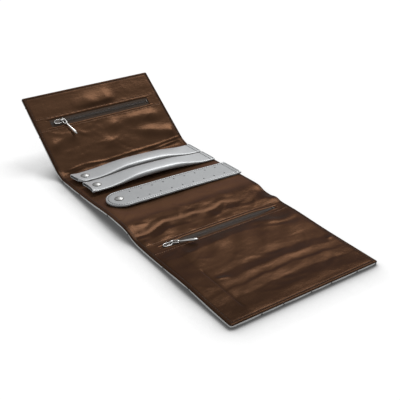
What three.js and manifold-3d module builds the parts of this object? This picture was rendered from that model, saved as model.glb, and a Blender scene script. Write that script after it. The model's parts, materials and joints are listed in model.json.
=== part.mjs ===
// Jewelry roll, opened out on a table.
// Three leather panels with a satin lining are joined by two soft spines. The back flap and the front
// flap each hold a zipped pocket; the centre carries two padded ring bars and one earring strap, each
// sewn down at its right end and closed with a press snap at its left end.
// X runs along the zips, Y from the front edge to the back flap, Z up. Millimetres and degrees.
// Every panel is drawn flat in its own group: z = 0 is the face of its lining, where the creases turn.

import * as THREE from "three";
import { mergeVertices } from "three/addons/utils/BufferGeometryUtils.js";
import Module from "manifold-3d";

const wasm = await Module();
wasm.setup();

// Panels
const ROLL_WIDTH = 190;
const FRONT_FLAP_LENGTH = 173;
const CENTRE_LENGTH = 158;
const BACK_FLAP_LENGTH = 118;
const CENTRE_TILT = 2;
const BACK_CREASE_BEND = 19;
const CREASE_GAP = 0.3;
const CLOSED_CLEARANCE = 1.2;

// Layers, from the satin down to the leather
const LINING = 0.4;
const POCKET_BACK = 0.3;
const BOARD = 0.7;
const LEATHER = 0.8;
const LAYER_GAP = 0.3;
const EDGE_INSET = 0.5;
const SEAM_GAP = 0.3;

// Zips
const ZIP_WINDOW = 9;
const BACK_ZIP_FROM_CREASE = 71;
const FRONT_ZIP_FROM_CREASE = 24;
const BACK_ZIP_MARGIN_LEFT = 21.5;
const BACK_ZIP_MARGIN_RIGHT = 21;
const FRONT_ZIP_MARGIN_LEFT = 20.5;
const FRONT_ZIP_MARGIN_RIGHT = 16;
const TAPE = 0.4;
const TAPE_WIDTH = 9;
const TAPE_END = 5;
const COIL_WIDTH = 1.8;
const COIL_HEIGHT = 1;
const COIL_PARTING = 1.2;
const COIL_BELOW_LINING = 0.1;
const STOP_LENGTH = 3;
const ZIP_RUN = 0.2;

// Zip sliders, links and pulls
const SLIDER_LENGTH = 13.5;
const SLIDER_MOUTH = 7.6;
const SLIDER_TAIL = 5.6;
const SLIDER_CORNER = 1.4;
const SLIDER_TOP_PLATE = 0.7;
const SLIDER_BOTTOM_PLATE = 0.4;
const SLIDER_POST_LENGTH = 3;
const SLIDER_POST_FROM_MOUTH = 1.5;
const BRIDGE_LEG = 1.2;
const BRIDGE_WIDTH = 1.4;
const BRIDGE_TOP = 0.8;
const BRIDGE_FROM_TAIL = 0.8;
const BACK_SLIDER_FROM_END = 5.5;
const FRONT_SLIDER_FROM_END = 0.8;
const LINK_BAR = 1.1;
const LINK_BORE = 1.6;
const LINK_REACH = 5.5;
const LINK_PLAY = 0.4;
const BACK_PULL_TURN = -73;
const FRONT_PULL_TURN = -31;
const PULL_LENGTH = 21.5;
const PULL_NECK = 0.7;
const PULL_BELLY = 1.6;
const PULL_BELLY_AT = 0.72;
const EYE_WALL = 0.65;
const EYE_WIDTH = 2.4;
const EYE_PLAY = 0.25;
const PULL_SIDES = 10;
const PULL_SWELL_STEPS = 6;
const PULL_NOSE_STEPS = 4;

// Ring bars
const BAR_WIDTH = 29;
const BAR_FROM_CREASE = 5.5;
const BAR_SPACING = 2.5;
const BAR_TIP_INSET = 10;
const BAR_END_INSET = 2.5;
const BAR_TIP_ROUND = 5;
const BAR_TONGUE = 22;
const BAR_RISE_LENGTH = 50;
const BAR_FALL_LENGTH = 50;
const BAR_LEATHER = 1;
const BAR_PADDING = 5.2;
const BAR_ARCH = 0.5;
const BAR_DRAW_IN = 1.5;
const CORE_GAP = 0.3;
const CORE_TAIL = 0.2;
const CORE_END_MARGIN = 14;
const BAR_END_SQUARENESS = 0.35;
const BAR_MIDDLE_SQUARENESS = 0.7;
const BAR_STATIONS = 14;
const BAR_TIP_STATIONS = 3;
const BAR_SIDES = 16;

// Earring strap
const STRAP_WIDTH = 38;
const STRAP_TIP_INSET = 13.5;
const STRAP_FROM_BAR = 15.5;
const STRAP_LAYER = 1.1;
const STRAP_LAYER_GAP = 0.15;
const STRAP_LEVEL_LENGTH = 28;
const HOLE_DIAMETER = 1.6;
const HOLE_ROW_SPACING = 20;
const HOLE_PITCH = 15.5;
const HOLE_FROM_TIP = 32.5;
const HOLE_FROM_CREASE = 6;
const HOLE_SIDES = 6;

// Sewn ends of the bars and the strap
const SEWN_END = 9;
const SEWN_SEAT = 0.3;
const LIFT_GAP = 0.3;

// Press snaps
const CAP_RADIUS = 5.6;
const CAP_RIM = 0.4;
const CAP_DOME = 1;
const CAP_DOME_STEPS = 3;
const CAP_POST_RADIUS = 1.5;
const SOCKET_RADIUS = 4.4;
const SOCKET_HEIGHT = 2.4;
const SOCKET_ROOF = 0.8;
const STUD_FLANGE_RADIUS = 4.2;
const STUD_FLANGE = 0.6;
const STUD_HEAD_RADIUS = 2.1;
const STUD_NECK_RADIUS = 1.8;
const STUD_HEAD_LENGTH = 1.8;
const RIVET_RADIUS = 0.9;
const RIVET_FLANGE_RADIUS = 3.5;
const RIVET_FLANGE = 0.4;
const SNAP_SEAT = 0.15;
const SNAP_PLAY = 0.3;
const BAR_SNAP_FROM_TIP = 13;
const STRAP_SNAP_FROM_TIP = 13;
const SNAP_SIDES = 18;

// Fineness of curves and joins
const CURVE_STEPS = 4;
const WELD = 1e-4;

// Finishes
const SILVER_LEATHER = { color: 0xa9aaaa, roughness: 0.42, metalness: 0.25 };
const BROWN_SATIN = { color: 0x46301f, roughness: 0.38, metalness: 0 };
const BROWN_BACKING = { color: 0x3a281b, roughness: 0.7, metalness: 0 };
const GREY_BOARD = { color: 0x8a857c, roughness: 0.9, metalness: 0 };
const CREAM_FOAM = { color: 0xd9cfb8, roughness: 0.95, metalness: 0 };
const DARK_TAPE = { color: 0x2c211b, roughness: 0.8, metalness: 0 };
const DARK_COIL = { color: 0x2a2420, roughness: 0.45, metalness: 0 };
const BRIGHT_METAL = { color: 0xc9c9c8, roughness: 0.2, metalness: 1 };

// Levels below and above the face of the lining
const coilTop = -COIL_BELOW_LINING;
const coilBottom = coilTop - COIL_HEIGHT;
const tapeTop = -LINING - LAYER_GAP;
const sliderTop = coilTop + ZIP_RUN + SLIDER_TOP_PLATE;
const sliderBottom = coilBottom - ZIP_RUN - SLIDER_BOTTOM_PLATE;
const pocketBackTop = sliderBottom - ZIP_RUN;
const boardTop = pocketBackTop - POCKET_BACK - LAYER_GAP;
const leatherTop = boardTop - BOARD - LAYER_GAP;
const underside = leatherTop - LEATHER;
const rimTop = -LINING - LAYER_GAP;
const paddingTop = -LINING - LAYER_GAP;
const panelThickness = -underside;

// The pull's eye turns on the far bar of the link and clears the lining below it
const eyeBore = LINK_BAR / Math.SQRT2 + EYE_PLAY;
const eyeRadius = eyeBore + EYE_WALL;
const linkLevel = Math.max(LAYER_GAP + eyeRadius, sliderTop + LINK_PLAY + LINK_BAR / 2);
const bridgeOpening = linkLevel + LINK_BAR / 2 + LINK_PLAY;
const bridgeTop = bridgeOpening + BRIDGE_TOP;

// Snap stack and strap thicknesses
const snapStack = STUD_FLANGE + SNAP_PLAY + SOCKET_HEIGHT + 2 * SNAP_SEAT + SNAP_PLAY;
const barTongue = 2 * BAR_LEATHER + 2 * CORE_GAP + CORE_TAIL;
const barTop = snapStack + BAR_ARCH + barTongue + BAR_PADDING;
const strapThickness = 2 * STRAP_LAYER + STRAP_LAYER_GAP;

// Spines: the back flap folds over the ring bars, the front flap folds over the back flap
const backSpineWidth = barTop + CLOSED_CLEARANCE;
const frontSpineWidth = backSpineWidth + panelThickness + bridgeTop + CLOSED_CLEARANCE;

const radians = THREE.MathUtils.degToRad;
const centreRise = CENTRE_LENGTH * Math.sin(radians(CENTRE_TILT));
const frontSpineSlope = Math.asin(centreRise / frontSpineWidth);
const frontCreaseBend = radians(CENTRE_TILT) + frontSpineSlope;
const frontCreaseSetback = CREASE_GAP + panelThickness * Math.tan(frontCreaseBend / 2);

const leftEdge = -ROLL_WIDTH / 2;
const rightEdge = ROLL_WIDTH / 2;
const barAxisX = rightEdge - BAR_END_INSET - SEWN_END;
const strapAxisX = rightEdge - SEWN_END;

// Solids

function solidOf(geometry) {
  const bare = geometry.clone();
  bare.deleteAttribute("normal");
  bare.deleteAttribute("uv");
  const merged = mergeVertices(bare, WELD);
  const triVerts = [];
  for (let i = 0; i < merged.index.count; i += 3) {
    const corners = [merged.index.getX(i), merged.index.getX(i + 1), merged.index.getX(i + 2)];
    if (new Set(corners).size === 3) {
      triVerts.push(...corners);
    }
  }
  const vertProperties = new Float32Array(merged.attributes.position.array);
  const mesh = new wasm.Mesh({ numProp: 3, vertProperties, triVerts: new Uint32Array(triVerts) });
  return new wasm.Manifold(mesh);
}

function geometryOf(solid) {
  const mesh = solid.getMesh();
  const geometry = new THREE.BufferGeometry();
  geometry.setAttribute("position", new THREE.Float32BufferAttribute(mesh.vertProperties, 3));
  geometry.setIndex(Array.from(mesh.triVerts));
  geometry.computeVertexNormals();
  return geometry;
}

function cut(body, ...tools) {
  let solid = solidOf(body);
  for (const tool of tools) {
    solid = solid.subtract(solidOf(tool));
  }
  return geometryOf(solid);
}

function join(first, ...others) {
  let solid = solidOf(first);
  for (const other of others) {
    solid = solid.add(solidOf(other));
  }
  return geometryOf(solid);
}

function overlapOf(first, second) {
  return geometryOf(solidOf(first).intersect(solidOf(second)));
}

function block(x0, x1, y0, y1, z0, z1) {
  const geometry = new THREE.BoxGeometry(x1 - x0, y1 - y0, z1 - z0);
  return geometry.translate((x0 + x1) / 2, (y0 + y1) / 2, (z0 + z1) / 2);
}

function rod(radius, z0, z1, x, y, sides) {
  const geometry = new THREE.CylinderGeometry(radius, radius, z1 - z0, sides);
  return geometry.rotateX(Math.PI / 2).translate(x, y, (z0 + z1) / 2);
}

// A profile of [radius, height] points turned about the vertical line through x and y
function turned(profile, x, y) {
  const points = profile.map(([radius, height]) => new THREE.Vector2(radius, height));
  const geometry = new THREE.LatheGeometry(points, SNAP_SIDES);
  return geometry.rotateX(Math.PI / 2).translate(x, y, 0);
}

function extruded(shape, depth) {
  return new THREE.ExtrudeGeometry(shape, { depth, bevelEnabled: false, curveSegments: CURVE_STEPS });
}

// An outline in X and Y given a height
function upright(shape, z0, z1) {
  return extruded(shape, z1 - z0).translate(0, 0, z0);
}

// A profile in X and Z given a width along Y
function sideways(shape, y0, y1) {
  return extruded(shape, y1 - y0).rotateX(Math.PI / 2).translate(0, y1, 0);
}

function add(group, name, geometry, finish) {
  const mesh = new THREE.Mesh(geometry, new THREE.MeshStandardMaterial(finish));
  mesh.name = name;
  group.add(mesh);
}

function groupAt(parent, x, y, z, turnX = 0, turnZ = 0) {
  const group = new THREE.Group();
  group.position.set(x, y, z);
  group.rotation.set(radians(turnX), 0, radians(turnZ));
  parent.add(group);
  return group;
}

// Panels

// The leather of a panel: a floor with turned-up edges, open where the panel meets a crease
function leatherTray(y0, y1, edgeAtFront, edgeAtBack) {
  const past = LEATHER;
  const hollow = block(
    leftEdge + LEATHER,
    rightEdge - LEATHER,
    edgeAtFront ? y0 + LEATHER : y0 - past,
    edgeAtBack ? y1 - LEATHER : y1 + past,
    leatherTop,
    rimTop + past,
  );
  return cut(block(leftEdge, rightEdge, y0, y1, underside, rimTop), hollow);
}

function liningSheet(y0, y1, x0 = leftEdge + EDGE_INSET, x1 = rightEdge - EDGE_INSET) {
  return block(x0, x1, y0, y1, -LINING, 0);
}

function innerSheet(y0, y1, z0, z1) {
  const inset = LEATHER + LAYER_GAP;
  return block(leftEdge + inset, rightEdge - inset, y0, y1, z0, z1);
}

// A soft spine is leather and lining alone
function addSpine(group, name, y0, y1) {
  add(group, `${name}_leather`, leatherTray(y0, y1, false, false), SILVER_LEATHER);
  add(group, `${name}_lining`, liningSheet(y0, y1), BROWN_SATIN);
}

// A flap with a pocket behind its lining, closed by a zip set in a window.
// It runs from its crease towards the back (way 1) or the front (way -1).
function addPocketFlap(group, name, length, way, zip) {
  const span = (far) => (way > 0 ? [CREASE_GAP, far] : [-far, -CREASE_GAP]);
  const [front, back] = span(length);
  const [liningFront, liningBack] = span(length - EDGE_INSET);
  const [innerFront, innerBack] = span(length - LEATHER - LAYER_GAP);
  const windowFront = zip.y - ZIP_WINDOW / 2;
  const windowBack = zip.y + ZIP_WINDOW / 2;
  const board = innerSheet(innerFront, innerBack, boardTop - BOARD, boardTop);
  const pocketBack = innerSheet(innerFront, innerBack, pocketBackTop - POCKET_BACK, pocketBackTop);
  add(group, `${name}_leather`, leatherTray(front, back, way < 0, way > 0), SILVER_LEATHER);
  add(group, `${name}_board`, board, GREY_BOARD);
  add(group, `${name}_pocket_back`, pocketBack, BROWN_BACKING);
  add(group, `${name}_pocket_front`, liningSheet(liningFront, windowFront), BROWN_SATIN);
  add(group, `${name}_lining_band`, liningSheet(windowBack, liningBack), BROWN_SATIN);
  const tabFront = windowFront + SEAM_GAP;
  const tabBack = windowBack - SEAM_GAP;
  const leftTab = liningSheet(tabFront, tabBack, leftEdge + EDGE_INSET, zip.left);
  const rightTab = liningSheet(tabFront, tabBack, zip.right, rightEdge - EDGE_INSET);
  add(group, `${name}_zip_tab_left`, leftTab, BROWN_SATIN);
  add(group, `${name}_zip_tab_right`, rightTab, BROWN_SATIN);
}

// Zips

function sliderPlan(x0) {
  const x1 = x0 + SLIDER_LENGTH;
  const mouth = SLIDER_MOUTH / 2;
  const tail = SLIDER_TAIL / 2;
  const round = SLIDER_CORNER;
  const plan = new THREE.Shape();
  plan.moveTo(x0, round - mouth);
  plan.quadraticCurveTo(x0, -mouth, x0 + round, -mouth);
  plan.lineTo(x1 - round, -tail);
  plan.quadraticCurveTo(x1, -tail, x1, round - tail);
  plan.lineTo(x1, tail - round);
  plan.quadraticCurveTo(x1, tail, x1 - round, tail);
  plan.lineTo(x0 + round, mouth);
  plan.quadraticCurveTo(x0, mouth, x0, mouth - round);
  return plan;
}

// Two plates joined by a post that parts the coils, with a bridge over the tail end for the link
function sliderBody(x0, legX) {
  const sink = SLIDER_TOP_PLATE / 2;
  const openingEnd = legX - LINK_BORE - LINK_BAR - LINK_PLAY;
  const bridge = new THREE.Shape();
  bridge.moveTo(openingEnd - BRIDGE_LEG, sliderTop - sink);
  bridge.lineTo(openingEnd, sliderTop - sink);
  bridge.lineTo(openingEnd, bridgeOpening);
  bridge.lineTo(legX - BRIDGE_LEG / 2, bridgeOpening);
  bridge.lineTo(legX - BRIDGE_LEG / 2, sliderTop - sink);
  bridge.lineTo(legX + BRIDGE_LEG / 2, sliderTop - sink);
  bridge.lineTo(legX + BRIDGE_LEG / 2, bridgeOpening);
  bridge.quadraticCurveTo(legX + BRIDGE_LEG / 2, bridgeTop, legX - BRIDGE_LEG / 2, bridgeTop);
  bridge.lineTo(openingEnd, bridgeTop);
  bridge.quadraticCurveTo(openingEnd - BRIDGE_LEG, bridgeTop, openingEnd - BRIDGE_LEG, bridgeOpening);
  const postStart = x0 + SLIDER_POST_FROM_MOUTH;
  const postHalf = COIL_PARTING / 2 - ZIP_RUN;
  const post = block(
    postStart,
    postStart + SLIDER_POST_LENGTH,
    -postHalf,
    postHalf,
    sliderBottom + SLIDER_BOTTOM_PLATE / 2,
    sliderTop - sink,
  );
  const topPlate = upright(sliderPlan(x0), sliderTop - SLIDER_TOP_PLATE, sliderTop);
  const bottomPlate = upright(sliderPlan(x0), sliderBottom, sliderBottom + SLIDER_BOTTOM_PLATE);
  return join(topPlate, bottomPlate, post, sideways(bridge, -BRIDGE_WIDTH / 2, BRIDGE_WIDTH / 2));
}

// A flat oblong ring: its round end turns about the bridge's leg, its straight bar carries the pull
function linkRing() {
  const outer = LINK_BORE + LINK_BAR;
  const far = LINK_REACH + LINK_BAR / 2;
  const ring = new THREE.Shape();
  ring.moveTo(far, -outer);
  ring.lineTo(far, outer);
  ring.lineTo(0, outer);
  ring.absarc(0, 0, outer, Math.PI / 2, (3 * Math.PI) / 2, false);
  const bore = new THREE.Path();
  const inside = LINK_REACH - LINK_BAR / 2;
  bore.moveTo(inside, LINK_BORE);
  bore.lineTo(inside, -LINK_BORE);
  bore.lineTo(0, -LINK_BORE);
  bore.absarc(0, 0, LINK_BORE, -Math.PI / 2, Math.PI / 2, true);
  ring.holes.push(bore);
  return upright(ring, linkLevel - LINK_BAR / 2, linkLevel + LINK_BAR / 2);
}

// A drop-shaped pull with a rolled eye
function pullDrop() {
  const bellyAt = PULL_LENGTH * PULL_BELLY_AT;
  const rootAt = (eyeBore + eyeRadius) / 2;
  const neckEnd = eyeRadius + EYE_WALL;
  const middle = (neckEnd + bellyAt) / 2;
  const profile = [
    new THREE.Vector2(0, rootAt),
    new THREE.Vector2(PULL_NECK, rootAt),
    new THREE.Vector2(PULL_NECK, neckEnd),
  ];
  const swell = new THREE.CubicBezierCurve(
    new THREE.Vector2(PULL_NECK, neckEnd),
    new THREE.Vector2(PULL_NECK, middle),
    new THREE.Vector2(PULL_BELLY, middle),
    new THREE.Vector2(PULL_BELLY, bellyAt),
  );
  const nose = new THREE.QuadraticBezierCurve(
    new THREE.Vector2(PULL_BELLY, bellyAt),
    new THREE.Vector2(PULL_BELLY, PULL_LENGTH),
    new THREE.Vector2(0, PULL_LENGTH),
  );
  profile.push(...swell.getPoints(PULL_SWELL_STEPS).slice(1));
  profile.push(...nose.getPoints(PULL_NOSE_STEPS).slice(1));
  const drop = new THREE.LatheGeometry(profile, PULL_SIDES).rotateZ(-Math.PI / 2);
  const eye = new THREE.CylinderGeometry(eyeRadius, eyeRadius, EYE_WIDTH, SNAP_SIDES);
  const bore = new THREE.CylinderGeometry(eyeBore, eyeBore, EYE_WIDTH + EYE_WALL, SNAP_SIDES);
  return cut(join(drop, eye), bore);
}

// A span given from the zip's middle, on its rear side (way 1) or its front side (way -1)
function mirrored(near, far, way) {
  return way > 0 ? [near, far] : [-far, -near];
}

function addZip(group, name, zip) {
  const tapeInner = COIL_PARTING / 2 + COIL_WIDTH + SEAM_GAP;
  const coilLeft = zip.left + SEAM_GAP;
  const coilRight = zip.right - SEAM_GAP - STOP_LENGTH - SEAM_GAP;
  for (const [side, way] of [["front", -1], ["rear", 1]]) {
    const [tapeFront, tapeBack] = mirrored(tapeInner, tapeInner + TAPE_WIDTH, way);
    const tape = block(
      zip.left - TAPE_END,
      zip.right + TAPE_END,
      zip.y + tapeFront,
      zip.y + tapeBack,
      tapeTop - TAPE,
      tapeTop,
    );
    add(group, `${name}_tape_${side}`, tape, DARK_TAPE);
    const [coilFront, coilBack] = mirrored(COIL_PARTING / 2, COIL_PARTING / 2 + COIL_WIDTH, way);
    const coil = block(coilLeft, coilRight, zip.y + coilFront, zip.y + coilBack, coilBottom, coilTop);
    add(group, `${name}_coil_${side}`, coil, DARK_COIL);
  }
  const stopHalf = COIL_PARTING / 2 + COIL_WIDTH;
  const stopLeft = coilRight + SEAM_GAP;
  const stopRight = stopLeft + STOP_LENGTH;
  const stop = block(stopLeft, stopRight, zip.y - stopHalf, zip.y + stopHalf, coilBottom, coilTop);
  add(group, `${name}_stop`, stop, BRIGHT_METAL);

  const slider = groupAt(group, 0, zip.y, 0);
  const sliderLeft = zip.left + zip.sliderFromEnd;
  const legX = sliderLeft + SLIDER_LENGTH - BRIDGE_FROM_TAIL;
  add(slider, `${name}_slider`, sliderBody(sliderLeft, legX), BRIGHT_METAL);
  const link = groupAt(slider, legX, 0, 0, 0, zip.pullTurn);
  add(link, `${name}_link`, linkRing(), BRIGHT_METAL);
  const pull = groupAt(link, LINK_REACH, 0, linkLevel);
  add(pull, `${name}_pull`, pullDrop(), BRIGHT_METAL);
}

// Ring bars

const smoothstep = THREE.MathUtils.smoothstep;
const barTipX = leftEdge + BAR_TIP_INSET;
const barEndX = barAxisX - LIFT_GAP;

// How full the padding is at x, from 0 at the flat ends to 1 along the middle
function barFullness(x) {
  const riseStart = barTipX + BAR_TONGUE;
  const fallStart = barAxisX - BAR_FALL_LENGTH;
  const rise = smoothstep(x, riseStart, riseStart + BAR_RISE_LENGTH);
  return rise * (1 - smoothstep(x, fallStart, barAxisX));
}

function barSection(x, wall) {
  const full = barFullness(x);
  const thickness = barTongue + BAR_PADDING * full;
  const sunk = smoothstep(x, (barTipX + barAxisX) / 2, barAxisX);
  const bottom = snapStack + BAR_ARCH * full + (SEWN_SEAT - snapStack) * sunk;
  const tip = THREE.MathUtils.clamp((x - barTipX) / BAR_TIP_ROUND, 0, 1);
  const rounding = BAR_TIP_ROUND * (1 - Math.sqrt(1 - (1 - tip) ** 2));
  return {
    x,
    z: bottom + thickness / 2,
    halfWidth: BAR_WIDTH / 2 - BAR_DRAW_IN * full - rounding - wall,
    halfHeight: thickness / 2 - wall,
    squareness: THREE.MathUtils.lerp(BAR_END_SQUARENESS, BAR_MIDDLE_SQUARENESS, full),
  };
}

// A closed tube through rounded sections that follow one another along X
function loft(sections) {
  const positions = [];
  const index = [];
  for (const section of sections) {
    for (let k = 0; k < BAR_SIDES; k += 1) {
      const turn = (2 * Math.PI * (k + 0.5)) / BAR_SIDES;
      const across = Math.sign(Math.cos(turn)) * Math.abs(Math.cos(turn)) ** section.squareness;
      const up = Math.sign(Math.sin(turn)) * Math.abs(Math.sin(turn)) ** section.squareness;
      positions.push(section.x, section.halfWidth * across, section.z + section.halfHeight * up);
    }
  }
  const last = (sections.length - 1) * BAR_SIDES;
  for (let k = 0; k < BAR_SIDES; k += 1) {
    const next = (k + 1) % BAR_SIDES;
    for (let start = 0; start < last; start += BAR_SIDES) {
      index.push(start + k, start + next, start + BAR_SIDES + k);
      index.push(start + next, start + BAR_SIDES + next, start + BAR_SIDES + k);
    }
    if (k > 0 && next > 0) {
      index.push(0, next, k);
      index.push(last, last + k, last + next);
    }
  }
  const geometry = new THREE.BufferGeometry();
  geometry.setAttribute("position", new THREE.Float32BufferAttribute(positions, 3));
  geometry.setIndex(index);
  geometry.computeVertexNormals();
  return geometry;
}

function stationsBetween(x0, x1, count) {
  return Array.from({ length: count + 1 }, (_, i) => x0 + ((x1 - x0) * i) / count);
}

function barCover() {
  const tipTurns = stationsBetween(0, Math.PI / 2, BAR_TIP_STATIONS).slice(0, -1);
  const tip = tipTurns.map((turn) => barTipX + BAR_TIP_ROUND * (1 - Math.cos(turn)));
  const xs = [...tip, ...stationsBetween(barTipX + BAR_TIP_ROUND, barEndX, BAR_STATIONS)];
  const outer = loft(xs.map((x) => barSection(x, 0)));
  const hollow = xs.map((x) => barSection(x, BAR_LEATHER));
  hollow[0].x -= BAR_LEATHER;
  hollow[hollow.length - 1].x += BAR_LEATHER;
  const snapX = barTipX + BAR_SNAP_FROM_TIP;
  const postHole = rod(CAP_POST_RADIUS + SNAP_PLAY, 0, snapStack + 2 * barTongue, snapX, 0, SNAP_SIDES);
  return cut(outer, loft(hollow), postHole);
}

function barCore() {
  const start = barTipX + BAR_TONGUE + CORE_END_MARGIN;
  const xs = stationsBetween(start, barEndX - CORE_END_MARGIN, BAR_STATIONS - 2);
  return loft(xs.map((x) => barSection(x, BAR_LEATHER + CORE_GAP)));
}

// Press snaps: the cap's post holds the socket under the strap, a rivet holds the stud on the lining

function capBody(x, thickness) {
  const seat = snapStack + thickness + SNAP_SEAT;
  const profile = [
    [0, snapStack - SOCKET_ROOF],
    [CAP_POST_RADIUS, snapStack - SOCKET_ROOF],
    [CAP_POST_RADIUS, seat],
    [CAP_RADIUS, seat],
  ];
  for (let step = 0; step <= CAP_DOME_STEPS; step += 1) {
    const turn = (Math.PI / 2) * (step / CAP_DOME_STEPS);
    const radius = step < CAP_DOME_STEPS ? CAP_RADIUS * Math.cos(turn) : 0;
    profile.push([radius, seat + CAP_RIM + CAP_DOME * Math.sin(turn)]);
  }
  return turned(profile, x, 0);
}

function socketBody(x) {
  const top = snapStack - SNAP_SEAT;
  const bore = CAP_POST_RADIUS + SNAP_SEAT;
  const cavity = STUD_HEAD_RADIUS + SNAP_PLAY;
  const profile = [
    [bore, top - SOCKET_ROOF],
    [cavity, top - SOCKET_ROOF],
    [cavity, top - SOCKET_HEIGHT],
    [SOCKET_RADIUS, top - SOCKET_HEIGHT],
    [SOCKET_RADIUS, top],
    [bore, top],
    [bore, top - SOCKET_ROOF],
  ];
  return turned(profile, x, 0);
}

function studBody(x, y) {
  const bore = RIVET_RADIUS + SNAP_SEAT;
  const flangeTop = SNAP_SEAT + STUD_FLANGE;
  const headTop = flangeTop + STUD_HEAD_LENGTH;
  const profile = [
    [bore, SNAP_SEAT],
    [STUD_FLANGE_RADIUS, SNAP_SEAT],
    [STUD_FLANGE_RADIUS, flangeTop],
    [STUD_NECK_RADIUS, flangeTop],
    [STUD_HEAD_RADIUS, (flangeTop + headTop) / 2],
    [STUD_NECK_RADIUS, headTop],
    [bore, headTop],
    [bore, SNAP_SEAT],
  ];
  return turned(profile, x, y);
}

function rivetBody(x, y) {
  const flangeTop = -LINING - SNAP_SEAT;
  const profile = [
    [0, flangeTop - RIVET_FLANGE],
    [RIVET_FLANGE_RADIUS, flangeTop - RIVET_FLANGE],
    [RIVET_FLANGE_RADIUS, flangeTop],
    [RIVET_RADIUS, flangeTop],
    [RIVET_RADIUS, SNAP_SEAT + STUD_FLANGE + STUD_HEAD_LENGTH / 2],
    [0, SNAP_SEAT + STUD_FLANGE + STUD_HEAD_LENGTH / 2],
  ];
  return turned(profile, x, y);
}

// Earring strap

const strapTipX = leftEdge + STRAP_TIP_INSET;
const strapEndX = strapAxisX - LIFT_GAP;

// One layer of the strap: level over the snap, then sloping down to the sewn end
function strapLayer(lift) {
  const levelEnd = strapTipX + STRAP_LEVEL_LENGTH;
  const past = STRAP_LAYER;
  const side = new THREE.Shape();
  side.moveTo(strapTipX - past, snapStack + lift);
  side.lineTo(levelEnd, snapStack + lift);
  side.lineTo(strapEndX, SEWN_SEAT + lift);
  side.lineTo(strapEndX, SEWN_SEAT + lift + STRAP_LAYER);
  side.lineTo(levelEnd, snapStack + lift + STRAP_LAYER);
  side.lineTo(strapTipX - past, snapStack + lift + STRAP_LAYER);
  const half = STRAP_WIDTH / 2;
  const plan = new THREE.Shape();
  plan.moveTo(strapEndX + past, -half);
  plan.lineTo(strapEndX + past, half);
  plan.lineTo(strapTipX + half, half);
  plan.absarc(strapTipX + half, 0, half, Math.PI / 2, (3 * Math.PI) / 2, false);
  const tall = snapStack + 2 * strapThickness;
  const sheet = overlapOf(sideways(side, -half - past, half + past), upright(plan, 0, tall));
  const snapX = strapTipX + STRAP_SNAP_FROM_TIP;
  const holes = [rod(CAP_POST_RADIUS + SNAP_PLAY, 0, tall, snapX, 0, SNAP_SIDES)];
  for (let x = strapTipX + HOLE_FROM_TIP; x <= strapEndX - HOLE_FROM_CREASE; x += HOLE_PITCH) {
    for (const row of [-1, 1]) {
      holes.push(rod(HOLE_DIAMETER / 2, 0, tall, x, (row * HOLE_ROW_SPACING) / 2, HOLE_SIDES));
    }
  }
  return cut(sheet, ...holes);
}

function sewnEnd(axisX, width, thickness, y) {
  const x0 = axisX + LIFT_GAP;
  return block(x0, axisX + SEWN_END, y - width / 2, y + width / 2, SEWN_SEAT, SEWN_SEAT + thickness);
}

// The roll: the centre is the base, and each spine and flap is turned about its crease

const roll = new THREE.Group();
const backSpineAngle = radians(BACK_CREASE_BEND - CENTRE_TILT);
const backFlapAngle = radians(2 * BACK_CREASE_BEND - CENTRE_TILT);
const frontReach =
  CENTRE_LENGTH * Math.cos(radians(CENTRE_TILT)) +
  frontSpineWidth * Math.cos(frontSpineSlope) +
  FRONT_FLAP_LENGTH;
const backReach =
  backSpineWidth * Math.cos(backSpineAngle) +
  BACK_FLAP_LENGTH * Math.cos(backFlapAngle) +
  panelThickness * Math.sin(backFlapAngle);

const centre = groupAt(roll, 0, (frontReach - backReach) / 2, panelThickness, -CENTRE_TILT);
const backSpine = groupAt(centre, 0, 0, 0, BACK_CREASE_BEND);
const backFlap = groupAt(backSpine, 0, backSpineWidth, 0, BACK_CREASE_BEND);
const frontSpine = groupAt(centre, 0, -CENTRE_LENGTH, 0, THREE.MathUtils.radToDeg(frontCreaseBend));
const frontFlap = groupAt(
  frontSpine,
  0,
  -frontSpineWidth,
  0,
  -THREE.MathUtils.radToDeg(frontSpineSlope),
);

// Centre: what the bars and the strap snap down to
const bars = ["ring_bar_rear", "ring_bar_front"].map((name, i) => ({
  name,
  y: -(BAR_FROM_CREASE + BAR_WIDTH / 2 + i * (BAR_WIDTH + BAR_SPACING)),
  snapX: barTipX + BAR_SNAP_FROM_TIP,
}));
const strap = {
  name: "earring_strap",
  y: bars[1].y - BAR_WIDTH / 2 - STRAP_FROM_BAR - STRAP_WIDTH / 2,
  snapX: strapTipX + STRAP_SNAP_FROM_TIP,
};
const snapped = [...bars, strap];
const centreFront = -CENTRE_LENGTH + frontCreaseSetback;
const centreBack = -CREASE_GAP;
const rivetHoles = snapped.map((piece) =>
  rod(RIVET_RADIUS + SNAP_SEAT, -2 * LINING, LINING, piece.snapX, piece.y, SNAP_SIDES),
);
const rivetPockets = snapped.map((piece) =>
  rod(
    RIVET_FLANGE_RADIUS + LAYER_GAP,
    paddingTop - RIVET_FLANGE - LAYER_GAP,
    0,
    piece.snapX,
    piece.y,
    SNAP_SIDES,
  ),
);
const padding = innerSheet(centreFront, centreBack, leatherTop + LAYER_GAP, paddingTop);
add(centre, "centre_leather", leatherTray(centreFront, centreBack, false, false), SILVER_LEATHER);
add(centre, "centre_padding", cut(padding, ...rivetPockets), CREAM_FOAM);
add(centre, "centre_lining", cut(liningSheet(centreFront, centreBack), ...rivetHoles), BROWN_SATIN);
for (const piece of snapped) {
  add(centre, `${piece.name}_snap_stud`, studBody(piece.snapX, piece.y), BRIGHT_METAL);
  add(centre, `${piece.name}_snap_rivet`, rivetBody(piece.snapX, piece.y), BRIGHT_METAL);
}

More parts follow.
